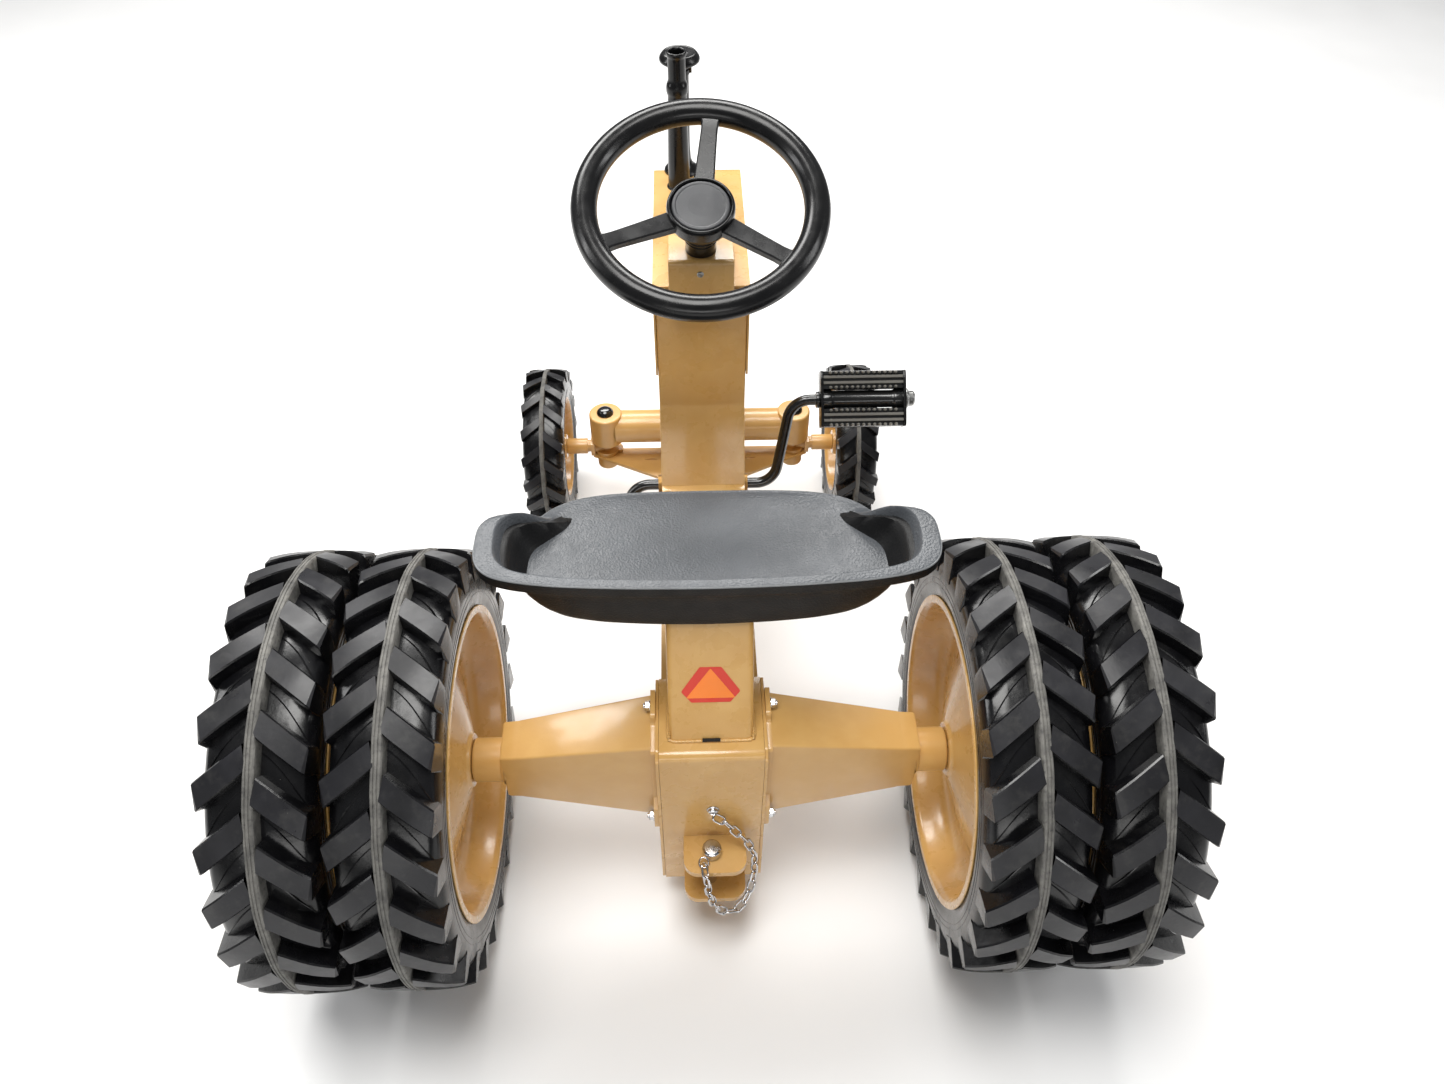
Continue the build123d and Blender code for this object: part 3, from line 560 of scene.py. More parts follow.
            # end face, a little chamfered, running down over the shoulder
            last = vs[-1]
            low = []
            for c_i, (wv, drop) in enumerate(cross):
                a = phi0 + ((outer - ridge / 2) * tan(radians(ang)) + wv / ca * 0.92) / R
                rad = carc_at(outer) - 7.0 * k
                low.append(bm.verts.new(F @ Vector((s * (outer + 0.1), rad * cos(a), rad * sin(a)))))
            for c_i in range(len(cross) - 1):
                try:
                    bm.faces.new((last[c_i], last[c_i + 1], low[c_i + 1], low[c_i]))
                except ValueError:
                    pass
    # fine arc left by the mould between the bars
    for s in (1, -1):
        for i in range(lugs):
            phi0 = 2 * pi * (i + (0.0 if s > 0 else 0.5) + 0.5) / lugs
            pts = []
            for q in range(9):
                u = q / 8
                t = ridge / 2 + 1.5 * k + (h * 0.86 - ridge / 2) * u
                arc = (t - ridge / 2) * tan(radians(ang)) - bar * 0.28 + bar * 1.05 * (u ** 2.2)
                a = phi0 + arc / R
                rad = carc_at(t) + 0.05
                pts.append(F @ Vector((s * t, rad * cos(a), rad * sin(a))))
            tube(bm, pts, 0.55 * k, 5, 0, False)
    return finish_mesh(bm, name, [RUBBER, RIDGE, LUG_TOP_DUST_AND_SHEEN], body, (node,), 30.0, weld=False)


for side, nm in ((1, "right"), (-1, "left")):
    for xc, pos in ((261.7, "inner"), (359.3, "outer")):
        tyre(f"tyre_{pos}_{nm}", xc, side, 0, RR, 203.2, 44.2, 7.6, 24, 18.0, "rear_axle", f"rear_tyre_{pos}_{nm}", 189.5, 140.2)
    tyre(f"front_tyre_{nm}_fine", 201.8, side, WB, RF, 104.4, 26.4, 4.6, 18, 9.5, "front_wheel_r" if side > 0 else "front_wheel_l",
         f"front_tyre_{nm}", 96.4, 66.1)


# =================================================================== rims
def rim(name, xc, side, yc, zc, profile, rad, body, node, mat=GOLD):
    bm = bmesh.new()
    lathe(bm, round_profile(profile, rad, 5) , xframe(side * xc, yc, zc, side), 144)
    return finish_mesh(bm, name, mat, body, (node,), 40.0)


REAR_RIM = [(-37.0, 10.3), (-37.0, 24.4), (-36.4, 25.2), (-33.6, 27.0), (-8.8, 109.0), (-8.2, 118.5), (-14.5, 129.0), (-27.0, 135.0),
            (-39.8, 138.2), (-43.6, 141.2), (-43.7, 147.6), (-42.9, 148.0), (-41.7, 147.6), (-41.6, 141.8), (-38.6, 139.9), (38.6, 139.9),
            (41.6, 141.8), (41.7, 147.6), (42.9, 148.0), (43.7, 147.6), (43.6, 141.2), (39.5, 137.6), (20.0, 136.4), (0.0, 133.0),
            (-4.0, 124.0), (-4.6, 110.0), (-30.0, 26.0), (-29.0, 18.0), (23.6, 18.0), (24.3, 17.2), (24.3, 10.3), (-37.0, 10.3)]
REAR_RAD = [0.6, 0.8, 2.0, 12.0, 10.0, 10.0, 8.0, 3.0, 0.5, 0.5, 0.5, 1.0, 1.0, 1.0, 1.0, 0.5, 0.5, 0.5, 2.0, 4.0, 8.0, 8.0, 8.0, 8.0, 3.0, 0.4, 0.4, 0.4, 0.0, 0.0]
for side, nm in ((1, "right"), (-1, "left")):
    for xc, pos in ((261.7, "inner"), (359.3, "outer")):
        rim(f"rim_{pos}_{nm}", xc, side, 0, RR, REAR_RIM, REAR_RAD[:len(REAR_RIM) - 2], "rear_axle", f"rear_rim_{pos}_{nm}")
FRONT_RIM = [(-22.0, 8.3), (-22.0, 15.6), (-21.4, 16.2), (-15.0, 17.0), (-4.5, 57.0), (-6.6, 61.2), (-20.0, 63.4), (-23.6, 65.6), (-23.8, 69.6),
             (-22.9, 70.0), (-22.0, 69.6), (-22.0, 67.0), (-20.5, 66.0), (20.5, 66.0), (22.0, 67.0), (22.0, 69.6), (22.9, 70.0), (23.8, 69.6),
             (23.6, 65.6), (20.0, 63.4), (2.0, 62.5), (-1.5, 58.0), (-12.0, 18.0), (-10.0, 16.0), (19.4, 16.0), (20.0, 15.4), (20.0, 8.3), (-22.0, 8.3)]
for side, nm in ((1, "right"), (-1, "left")):
    rim(f"front_rim_{nm}_fine", 201.8, side, WB, RF, FRONT_RIM, 1.2, "front_wheel_r" if side > 0 else "front_wheel_l", f"front_rim_{nm}")


# ======================================================== axle housings
def rect_ring(x, hy, hz, r, side, n=4, yc=0.0, zc=RR):
    pts = []
    for cy, cz, a0 in ((hy - r, hz - r, 0), (-(hy - r), hz - r, 90), (-(hy - r), -(hz - r), 180), (hy - r, -(hz - r), 270)):
        for k in range(n + 1):
            a = radians(a0 + 90 * k / n)
            pts.append(Vector((side * x, yc + cy + r * cos(a), zc + cz + r * sin(a))))
    return pts


for side, nm in ((1, "right"), (-1, "left")):
    bm = bmesh.new()
    rings = [rect_ring(55.0, 30.0, 58.7, 2.6, side), rect_ring(56.5, 29.9, 58.3, 2.4, side), rect_ring(178.0, 21.7, 34.7, 2.2, side),
             rect_ring(181.0, 21.4, 34.0, 2.2, side), rect_ring(193.0, 21.0, 33.2, 2.2, side), rect_ring(195.0, 20.2, 32.2, 2.0, side)]
    grid_strip(bm, rings, True, 0, True, True)
    F = xframe(0, 0, RR, side)
    lathe(bm, round_profile([(193.0, 21.0), (222.6, 21.0), (224.2, 19.6), (224.2, 14.2), (216.0, 14.2)], 0.8, 3), F, 64)
    # weld bead where the collar meets the box end
    lathe(bm, [(194.6, 23.6), (196.0, 23.0), (197.6, 21.0)], F, 64)
    # flange with rounded lugs for the bolts
    fl = rounded_poly([(-42, RR - 64), (-42, RR - 30), (-33, RR - 20), (-33, RR + 56), (-4, RR + 60), (-2, RR + 70), (28, RR + 70), (30, RR + 60),
                       (33, RR + 56), (33, RR - 20), (42, RR - 30), (42, RR - 64)], 4.0, 4)
    prism(bm, fl, side * 50.8, side * 55.3, 'x')
    finish_mesh(bm, f"housing_{nm}", GOLD_CAST, "frame", (f"axle_housing_{nm}",), 32.0, bevel=0.7)


def hexbolt(bm, m, flats, h, washer=0.0, shank=0.0, shank_r=0.0, mat=0):
    """Hex head along local X of m, chamfered crown, washer face below."""
    r = flats / 2 / cos(pi / 6)
    if washer:
        lathe(bm, round_profile([(0, 0), (0, washer), (1.1, washer), (1.1, 0)], 0.3, 2), m, 40, default=mat)
    b = 1.1 if washer else 0.0
    rings = [[m @ Vector((b, r * cos(radians(60 * k)), r * sin(radians(60 * k)))) for k in range(6)],
             [m @ Vector((b + h * 0.78, r * cos(radians(60 * k)), r * sin(radians(60 * k)))) for k in range(6)],
             [m @ Vector((b + h, r * 0.84 * cos(radians(60 * k)), r * 0.84 * sin(radians(60 * k)))) for k in range(6)]]
    grid_strip(bm, rings, True, mat, True, True)
    if shank:
        lathe(bm, [(b + h - 0.2, shank_r), (b + h + shank - 0.6, shank_r), (b + h + shank, shank_r - 0.6), (b + h + shank, 0)], m, 24, default=mat)


bm = bmesh.new()
for side in (1, -1):
    for y, z, rot in ((-36.5, RR - 49.0, 11), (36.5, RR - 49.0, 40), (13.0, RR + 64.3, 23)):
        m = xframe(side * 55.3, y, z, side) @ Matrix.Rotation(radians(rot), 4, 'X')
        hexbolt(bm, m, 8.2, 4.0, 5.6, 1.9, 2.6)
finish_mesh(bm, "flange_bolts_fine", CHROME, "frame", ("flange_bolts",), 30.0)

bm = bmesh.new()
for side in (1, -1):
    m = xframe(side * 383.6, 0, RR, side)
    lathe(bm, round_profile([(0, 10.1), (0, 17.0), (2.4, 17.0), (2.4, 10.1)], 0.4, 2), m, 48)
    r = 28 / 2 / cos(pi / 6)
    rings = [[m @ Vector((t, q * cos(radians(60 * k)), q * sin(radians(60 * k)))) for k in range(6)] for t, q in ((2.4, r), (10.0, r), (11.9, r * 0.88), (11.9, 10.2))]
    grid_strip(bm, rings, True)
finish_mesh(bm, "rear_nuts_fine", STEEL, "rear_axle", ("rear_nuts",), 30.0)

# ===================================================== rear box and post
bm = bmesh.new()
Y0, Y1, Z0, Z1, W = -43.5, 43.5, 37.0, 267.0, 101.6
bend = [(Y0, Z0), (Y0, Z1 - 8)] + [(Y0 + 8 - 8 * cos(radians(a)), Z1 - 8 + 8 * sin(radians(a))) for a in (18, 36, 54, 72, 90)] + [(Y1, Z1), (Y1, Z0)]
prism(bm, bend, -W / 2 + 3.2, W / 2 - 3.2, 'x')          # folded rear, top and front sheet
for s in (1, -1):                                          # side plates, standing a hair proud
    sp = rounded_poly([(Y0 - 0.0, Z0), (Y0 - 0.0, Z1 - 9), (Y0 + 8, Z1 - 0.6), (Y1, Z1 - 0.6), (Y1, Z0)], [5, 6, 6, 1, 5], 4)
    prism(bm, sp, s * (W / 2 - 3.0), s * W / 2, 'x')
finish_mesh(bm, "rear_box_fine", GOLD, "frame", ("rear_box",), 32.0, bevel=0.8)

LEAN = radians(27.0)
PY = -26.0


def post_pt(x, d, s):
    """x across, d forward of the rear face along Y, s up the slope."""
    return Vector((x, PY + d + s * sin(LEAN), Z1 + s * cos(LEAN)))


bm = bmesh.new()
hw, dp, r = 38.5, 44.0, 6.0
rings = []
top_s = (376.0 - Z1) / cos(LEAN)
for s in (0.0, 2.0, top_s * 0.33, top_s * 0.66, top_s):
    ring = []
    for cx, cy, a0 in ((hw - r, dp - r, 0), (-(hw - r), dp - r, 90), (-(hw - r), r, 180), (hw - r, r, 270)):
        for k in range(6):
            a = radians(a0 + 90 * k / 5)
            ring.append(post_pt(cx + r * cos(a), cy + r * sin(a), s))
    rings.append(ring)
grid_strip(bm, rings, True, 0, True, True)
# weld bead: overlapping ripples round the foot
loop = []
for cx, cy, a0 in ((hw - r, dp - r, 0), (-(hw - r), dp - r, 90), (-(hw - r), r, 180), (hw - r, r, 270)):
    for k in range(6):
        a = radians(a0 + 90 * k / 5)
        loop.append(post_pt(cx + (r + 0.9) * cos(a), cy + (r + 0.9) * sin(a), 0.9))
loop.append(loop[0])
dense = []
for a, b in zip(loop[:-1], loop[1:]):
    n = max(1, int((b - a).length / 0.8))
    dense += [a.lerp(b, k / n) for k in range(n)]
rad = [1.25 + 0.35 * abs(sin(i * 0.85)) + 0.35 * noise.noise(Vector((i * 0.21, 3.1, 0))) for i in range(len(dense))]
tube(bm, dense + [dense[0]], rad + [rad[0]], 10, 0, False)
# spatter knots at the two rear corners
for sx in (1, -1):
    for q in range(4):
        c = post_pt(sx * (hw - 0.6 + 0.5 * noise.noise(Vector((q * 3.3, sx, 0)))), 1.0 - q * 0.2, 2.0 + q * 3.2)
        tube(bm, [c + Vector((0, -0.6, -2.2)), c + Vector((0, -0.6, 0)), c + Vector((0, -0.4, 2.2))], [0.5, 1.7 - q * 0.25, 0.4], 10)
finish_mesh(bm, "seat_post_fine", GOLD, "frame", ("seat_post",), 45.0, weld=False)
# a near-black block on the post's rear face at its foot: painted shade standing in for the gap there
bm = bmesh.new()
m = Matrix.Translation(post_pt(0, 0, 0)) @ Matrix.Rotation(-LEAN, 4, 'X')
block(bm, -8.2, 8.2, -2.6, -0.2, 0.4, 3.2, m)
finish_mesh(bm, "post_slot_painted_shade", GAP_SHADE_BLACK, "frame", (), 30.0, bevel=0.4)

# warning triangle: a red field with an orange triangle on it
bm = bmesh.new()


def on_post(pts, lift0, lift1, mat):
    n = Vector((0, -cos(LEAN), sin(LEAN)))
    a = [bm.verts.new(post_pt(x, 0, s) + n * lift0) for x, s in pts]
    b = [bm.verts.new(post_pt(x, 0, s) + n * lift1) for x, s in pts]
    N = len(pts)
    for i in range(N):
        j = (i + 1) % N
        bm.faces.new((a[i], a[j], b[j], b[i])).material_index = mat
    bm.faces.new(b).material_index = mat
    bm.faces.new(list(reversed(a))).material_index = mat


on_post(rounded_poly([(-26.4, 50.2), (-17.3, 39.5), (17.3, 39.5), (26.4, 50.2), (9.6, 74.2), (-9.6, 74.2)], 2.2, 4), 0.02, 0.32, 0)
on_post(rounded_poly([(-22.0, 43.8), (22.0, 43.8), (0.0, 73.0)], 0.8, 3), 0.30, 0.46, 1)
finish_mesh(bm, "warning_triangle_fine", [REDF, ORANGE], "frame", ("warning_triangle",), 30.0, weld=False)


# ==================================================================== seat
SEAT_R = [(0, 19.0), (40, 19.6), (80, 21.0), (124, 24.0), (148, 27.0), (168, 31.0), (184, 37.0), (194.5, 47.0), (199.2, 60.0),
          (200.0, 76.0), (198.6, 92.0), (192.5, 103.0), (182.0, 111.5), (170.0, 121.0), (160.0, 130.0), (152.5, 141.0),
          (143.5, 153.0), (130.0, 163.0), (112.0, 170.5), (88.0, 175.6), (50.0, 178.0), (0, 178.5)]
RIMZ = [(19, 427.0), (96, 427.0), (104, 426.4), (110, 424.0), (116, 418.5), (122, 410.0), (128, 400.5), (134, 393.2), (142, 388.6), (155, 386.0), (168, 384.2), (178.5, 381.6)]
FLOZ = [(19, 388.0), (50, 386.4), (100, 386.0), (145, 386.0), (158, 385.0), (168, 383.6), (178.5, 380.8)]


def lerp_tab(tab, y):
    if y <= tab[0][0]:
        return tab[0][1]
    for (a, za), (b, zb) in zip(tab[:-1], tab[1:]):
        if y <= b:
            return za + (zb - za) * (y - a) / (b - a)
    return tab[-1][1]


def resample(pts, n):
    P = [Vector((x, y, 0)) for x, y in pts]
    S_ = []
    m_ = len(P) - 1
    for k in range(m_ * 24 + 1):
        i = min(k // 24, m_ - 1)
        t = k / 24 - i
        p0, p1, p2, p3 = P[max(i - 1, 0)], P[i], P[i + 1], P[min(i + 2, m_)]
        S_.append(0.5 * ((2 * p1) + (p2 - p0) * t + (2 * p0 - 5 * p1 + 4 * p2 - p3) * t * t + (3 * p1 - p0 - 3 * p2 + p3) * t ** 3))
    d = [0.0]
    for a, b in zip(S_[:-1], S_[1:]):
        d.append(d[-1] + (b - a).length)
    out = []
    i = 0
    for k in range(n + 1):
        g = d[-1] * k / n
        while i < len(d) - 2 and d[i + 1] < g:
            i += 1
        out.append(S_[i].lerp(S_[i + 1], (g - d[i]) / max(1e-9, d[i + 1] - d[i])))
    return out


half_o = resample(SEAT_R, 110)
half_o[0].x = 0.0
half_o[-1].x = 0.0
OUT = half_o + [Vector((-p.x, p.y, 0)) for p in reversed(half_o[1:-1])]


def inset(p, k, rear, front):
    u = (p.y - 19.0) / 159.5
    return Vector((p.x * (1 - k / 200.0), p.y + rear * (1 - u) - front * u, 0))


def bowl(w, h):
    """w: 0 at the outer edge, 1 at the floor's edge. h: 0 on the floor, 1 at the rim line."""
    ring = []
    for p in OUT:
        q = p.lerp(inset(p, 37.0, 22.0, 6.5), w)
        zr, zf = lerp_tab(RIMZ, p.y), lerp_tab(FLOZ, q.y)
        ring.append(Vector((q.x, q.y, zf + (max(zr, zf) - zf) * h)))
    return ring


def skirt(z, k, rear, front, low=0.0):
    ring = []
    for p in OUT:
        q = inset(p, k, rear, front)
        zr = lerp_tab(RIMZ, p.y)
        g = min(1.0, max(0.16, (zr - 386.0) / 34.0))
        lip = zr - 12.0 * g
        ring.append(Vector((q.x, q.y, lip - low if z is None else min(z, lip - low))))
    return ring


bm = bmesh.new()
rings = []
CEN = Vector((0, 104.0, 0))
for t in (0.12, 0.3, 0.5, 0.7, 0.86, 0.95):
    ring = []
    for p in OUT:
        q = CEN + (inset(p, 37.0, 22.0, 6.5) - CEN) * t
        ring.append(Vector((q.x, q.y, lerp_tab(FLOZ, q.y) + 0.9 * (abs(q.x) / 150.0) ** 3)))
    rings.append(ring)
for w_, h_ in ((1.0, 0.02), (0.95, 0.045), (0.90, 0.09), (0.84, 0.17), (0.77, 0.29), (0.70, 0.43), (0.63, 0.58), (0.565, 0.73), (0.515, 0.85), (0.475, 0.935),
               (0.445, 0.98), (0.415, 0.998), (0.38, 1.0), (0.2, 1.0), (0.06, 1.0), (0.03, 0.997)):
    rings.append(bowl(w_, h_))
for w_, dz in ((0.008, 0.5), (0.0, 1.5), (0.0, 3.0)):
    rings.append([Vector((p.x, p.y, v.z - dz * min(1.0, max(0.3, (v.z - 384.0) / 20.0)))) for p, v in zip([a.lerp(inset(a, 37.0, 22.0, 6.5), w_) for a in OUT], bowl(w_, 1.0))])
rings.append(skirt(None, 0.0, 0.0, 0.0, -1.2))
rings.append(skirt(None, 0.5, 0.3, 0.2, 0.0))
rings.append(skirt(None, 2.5, 0.9, 0.5, 0.3))
rings.append(skirt(None, 24.0, 2.0, 0.8, -0.8))
rings.append(skirt(414.0, 28.0, 2.8, 1.0, 0.4))
rings.append(skirt(403.0, 32.0, 3.0, 1.2, 0.8))
rings.append(skirt(392.0, 37.0, 3.3, 1.6, 1.2))
rings.append(skirt(385.0, 42.0, 3.6, 3.0, 2.2))
rings.append(skirt(379.0, 48.0, 4.0, 6.0, 3.6))
rings.append(skirt(374.5, 55.0, 4.4, 10.0, 5.0))
rings.append(skirt(372.4, 62.0, 5.4, 15.0, 6.4))
rings.append(skirt(372.2, 66.0, 7.4, 19.0, 7.0))
for ring in rings[-4:]:
    for v in ring:
        v.z = max(v.z, 372.0)
up = []
for k_, r_, f_, z_ in ((66.0, 7.6, 20.0, 374.0), (54.0, 7.4, 12.0, 379.8), (90.0, 30.0, 50.0, 379.9), (150.0, 70.0, 76.0, 379.9)):
    up.append([Vector((q.x, q.y, z_)) for q in (inset(p, k_, r_, f_) for p in OUT)])
rings += up
grid_strip(bm, rings[:22], True, 0, True, False)
# lip rings take the lighter edge plastic: part wear, part painted highlight
grid_strip(bm, rings[21:24], True, 1, False, False)
# skirt and underside take the darker plastic: painted shade
grid_strip(bm, rings[23:], True, 2, False, True)
finish_mesh(bm, "seat_fine", [SEATM, SEAT_EDGE_WEAR_AND_HIGHLIGHT, SEAT_SKIRT_SHADE], "frame", ("seat_pan",), 50.0)

# ============================================================ bodywork
bm = bmesh.new()
hwB = 45.5
ped = [(300.5, 266.0), (300.9, 268.6), (341.0, 349.0), (341.6, 352.5), (341.6, 496.0), (563.8, 496.0), (563.8, 266.0)]
rings = []
prism(bm, ped, -hwB, hwB, 'x')
finish_mesh(bm, "pedestal_fine", GOLD, "frame", ("pedestal",), 40.0, bevel=1.6, segs=3, bevel_ang=12.0)
bm = bmesh.new()
prism(bm, rounded_poly([(292.7, 266.0), (292.7, 268.3), (301.5, 268.9), (301.5, 266.0)], 0.7, 3), -hwB + 0.4, hwB - 0.4, 'x')
for sx in (1, -1):
    c = Vector((sx * 39.0, 293.0, 268.0))
    tube(bm, [c + Vector((-3, 0, 0)), c + Vector((-1, -0.3, 0.5)), c + Vector((1, -0.3, 0.4)), c + Vector((3, 0, 0))], [0.3, 1.4, 1.3, 0.3], 10)
finish_mesh(bm, "pedestal_foot", GOLD, "frame", (), 40.0, bevel=0.3)

bm = bmesh.new()
arc_o = [(557.0 + 20 * sin(radians(a)), 481 + 20 * cos(radians(a))) for a in (0, 11, 22, 34, 45, 56, 68, 79, 90)]
arc_i = [(557.0 + 18 * sin(radians(a)), 481 + 18 * cos(radians(a))) for a in (90, 79, 68, 56, 45, 34, 22, 11, 0)]
prism(bm, [(339.2, 501.0)] + arc_o + [(577.0, 390.0), (575.0, 390.0)] + arc_i + [(339.2, 499.0)], -46.2, 46.2, 'x')
for sx in (1, -1):
    side_pts = [(339.2, 393.0), (339.2, 500.9)] + [(a - 0.08, b - 0.08) for a, b in arc_o] + [(576.9, 390.0), (342.0, 390.0)]
    prism(bm, side_pts, sx * 45.8, sx * 47.75, 'x')
finish_mesh(bm, "hood_fine", GOLD, "frame", ("hood",), 32.0, bevel=0.7, segs=2, bevel_ang=40.0, weld=False)

bm = bmesh.new()
da = [(329.0, 478.0), (329.0, 531.0)] + [(333.0 - 4 * cos(radians(a)), 531 + 4 * sin(radians(a))) for a in (25, 50, 75, 90)] + [(402.0, 535.0), (417.6, 501.3), (339.4, 501.3), (339.0, 478.0)]
prism(bm, da, -31.5, 31.5, 'x')
finish_mesh(bm, "dash_fine", GOLD, "frame", ("dash_box",), 32.0, bevel=1.2, segs=3, bevel_ang=40.0)
bm = bmesh.new()
m = yframe(-1.0, 329.0, 521.0)
lathe(bm, round_profile([(-0.5, 3.3), (0.5, 3.3), (1.5, 2.5), (1.8, 1.5), (1.2, 1.3), (1.2, 0)], 0.3, 2), m, 32)
finish_mesh(bm, "dash_screw_fine", STEEL, "frame", ("dash_screw",), 40.0)

# ================================================================= stacks
bm = bmesh.new()
st = [(0, 11.7), (2.0, 11.6), (30, 11.3), (60, 10.6), (99, 9.7), (102, 10.0), (104.5, 10.9), (107, 11.15), (110, 11.1), (112.5, 10.6), (115.5, 9.4),
      (118, 8.9), (138, 9.1), (140.4, 9.3), (141.8, 10.1), (143.6, 10.3), (145.2, 10.1), (145.9, 9.2), (145.6, 7.8), (143.5, 7.3), (104, 7.2), (104, 0)]
lathe(bm, [(a + 501.0, b) for a, b in round_profile(st, 1.2, 3)], zframe(-20.0, 528.0), 64)
lathe(bm, round_profile([(501.0, 13.2), (502.0, 12.9), (503.0, 11.6)], 0.3, 2), zframe(-20.0, 528.0), 64)
finish_mesh(bm, "exhaust_fine", SATIN, "frame", ("exhaust_stack",), 38.0)
bm = bmesh.new()
pr = [(499.0, 19.2), (503.0, 19.1), (504.8, 17.6), (509.0, 13.0), (515, 10.6), (530, 9.6), (621.6, 9.4), (622.0, 17.5), (621.7, 19.2), (622.6, 20.8), (624.4, 21.1), (626.6, 20.6),
      (629.4, 18.6), (630.8, 17.2), (631.3, 15.8), (630.9, 14.6), (630.9, 9.0), (631.6, 7.6), (631.8, 0)]
lathe(bm, round_profile(pr, 1.4, 3), zframe(-17.0, 562.0), 72)
for z in (612.0, 577.0):
    lathe(bm, [(z - 2.6, 9.5), (z - 2.2, 10.6), (z + 2.2, 10.6), (z + 2.6, 9.5)], zframe(-17.0, 562.0), 48)
for x, z in ((-6.0, 613.0), (-28.0, 577.0)):
    block(bm, x - 1.4, x + 1.4, 559.7, 564.3, z - 2.8, z + 2.8)
finish_mesh(bm, "precleaner_fine", SATIN, "frame", ("precleaner",), 38.0)

# ======================================================== steering wheel
COL = Matrix.Translation((0, 325.0, 595.0)) @ Matrix.Rotation(radians(23.0), 4, 'X')
COLX = COL @ Matrix.Rotation(-pi / 2, 4, 'Y')      # local X up the column
bm = bmesh.new()
nu, nv = 160, 32
ringsT = []
for i in range(nu):
    a = 2 * pi * i / nu
    ring = []
    for j in range(nv):
        b = 2 * pi * j / nv
        rr_ = 105.0 + 12.0 * cos(b)
        zz = 12.0 * sin(b)
        ring.append(COL @ Vector((rr_ * cos(a), rr_ * sin(a), zz)))
    ringsT.append(ring)
ringsT.append(ringsT[0])
grid_strip(bm, ringsT, True)
# hub: raised ring round the cap, straight side, cone below
hub = [(-0.6, 26.7), (0.4, 27.3), (2.6, 27.8), (3.2, 28.8), (2.4, 30.4), (-0.6, 31.3), (-11.0, 31.1), (-16.0, 29.4), (-20.5, 24.5), (-21.8, 20.0), (-21.8, 8.2)]
lathe(bm, round_profile(hub, 0.9, 3), COLX, 96)
finish_mesh(bm, "steering_rim_fine", SATIN, "steering", ("steering_wheel",), 40.0)
bm = bmesh.new()
for k in range(3):
    m = COL @ Matrix.Rotation(radians(83.5 + 120 * k), 4, 'Z')
    # section: flat top with narrow chamfers; it sinks a little and flares into the rim
    st_ = [(25.0, 9.8, 4.6, -4.8), (34.0, 9.4, 4.5, -4.6), (60.0, 8.4, 4.3, -4.4), (84.0, 7.7, 4.2, -4.2), (91.0, 8.0, 4.3, -4.4), (95.0, 9.3, 4.6, -5.0), (99.5, 12.6, 4.9, -5.6)]
    rings = []
    for x, w, zt, zb in st_:
        c = 1.3
        sec = [(w, zt - c), (w - c, zt), (-(w - c), zt), (-w, zt - c), (-w, zb + c), (-(w - c), zb), (w - c, zb), (w, zb + c)]
        rings.append([m @ Vector((x, yy, zz - 3.6 + 0.105 * (x - 63.0))) for yy, zz in sec])
    grid_strip(bm, rings, True, 0, True, True)
finish_mesh(bm, "steering_spokes", SPOKE, "steering", (), 30.0)
bm = bmesh.new()
lathe(bm, round_profile([(-0.8, 26.7), (1.2, 26.5), (2.1, 25.4), (2.3, 23.4), (1.8, 22.6), (1.9, 21.8), (2.6, 12.0), (2.7, 0.0)], 0.5, 3), COLX, 96)
finish_mesh(bm, "hub_cap_fine", CAPM, "steering", ("hub_cap",), 40.0)
bm = bmesh.new()
lathe(bm, round_profile([(-23.3, 9.4), (-23.3, 19.6), (-24.8, 19.9), (-34, 17.6), (-46, 15.2), (-57, 14.4), (-61, 14.8), (-66, 14.8)], 1.5, 3), COLX, 72)
for t, r in ((-30, 18.8), (-36, 17.4), (-42, 16.2)):
    lathe(bm, [(t - 1.0, r - 0.6), (t, r + 0.4), (t + 1.0, r - 0.4)], COLX, 72)
finish_mesh(bm, "boot_fine", SATIN, "frame", ("steering_boot",), 40.0)

# ========================================================= crank, pedals
CA = radians(70.0)
CY, CZ, TH = 327.0, 246.0, 98.0
pr_ = (CY + TH * cos(CA), CZ + TH * sin(CA))
pl_ = (CY - TH * cos(CA), CZ - TH * sin(CA))
bm = bmesh.new()
path = smooth_path([(-226.3, pl_[0], pl_[1]), (-98, pl_[0], pl_[1]), (-80, CY, CZ), (80, CY, CZ), (98, pr_[0], pr_[1]), (226.3, pr_[0], pr_[1])], 24, 14)
dense = []
for a, b in zip(path[:-1], path[1:]):
    n = max(1, int((b - a).length / 8))
    dense += [a.lerp(b, k / n) for k in range(n)]
dense.append(path[-1])
tube(bm, dense, 6.0, 28)
for s, (y, z) in ((1, pr_), (-1, pl_)):
    lathe(bm, round_profile([(124.5, 5.8), (124.5, 9.0), (128.5, 9.0), (128.5, 5.8)], 0.6, 2), xframe(0, y, z, s), 48)
finish_mesh(bm, "crank_fine", GLOSSB, "crankset", ("crank_rod",), 40.0)
bm = bmesh.new()
for s, (y, z) in ((1, pr_), (-1, pl_)):
    m = xframe(s * 222.4, y, z, s)
    lathe(bm, round_profile([(0, 11.4), (1.6, 11.4), (3.4, 9.4), (3.4, 8.6), (8.4, 8.4), (10.4, 6.6), (10.9, 0)], 0.8, 3), m, 48)
finish_mesh(bm, "crank_nuts_fine", STEEL, "crankset", ("crank_nuts",), 35.0)

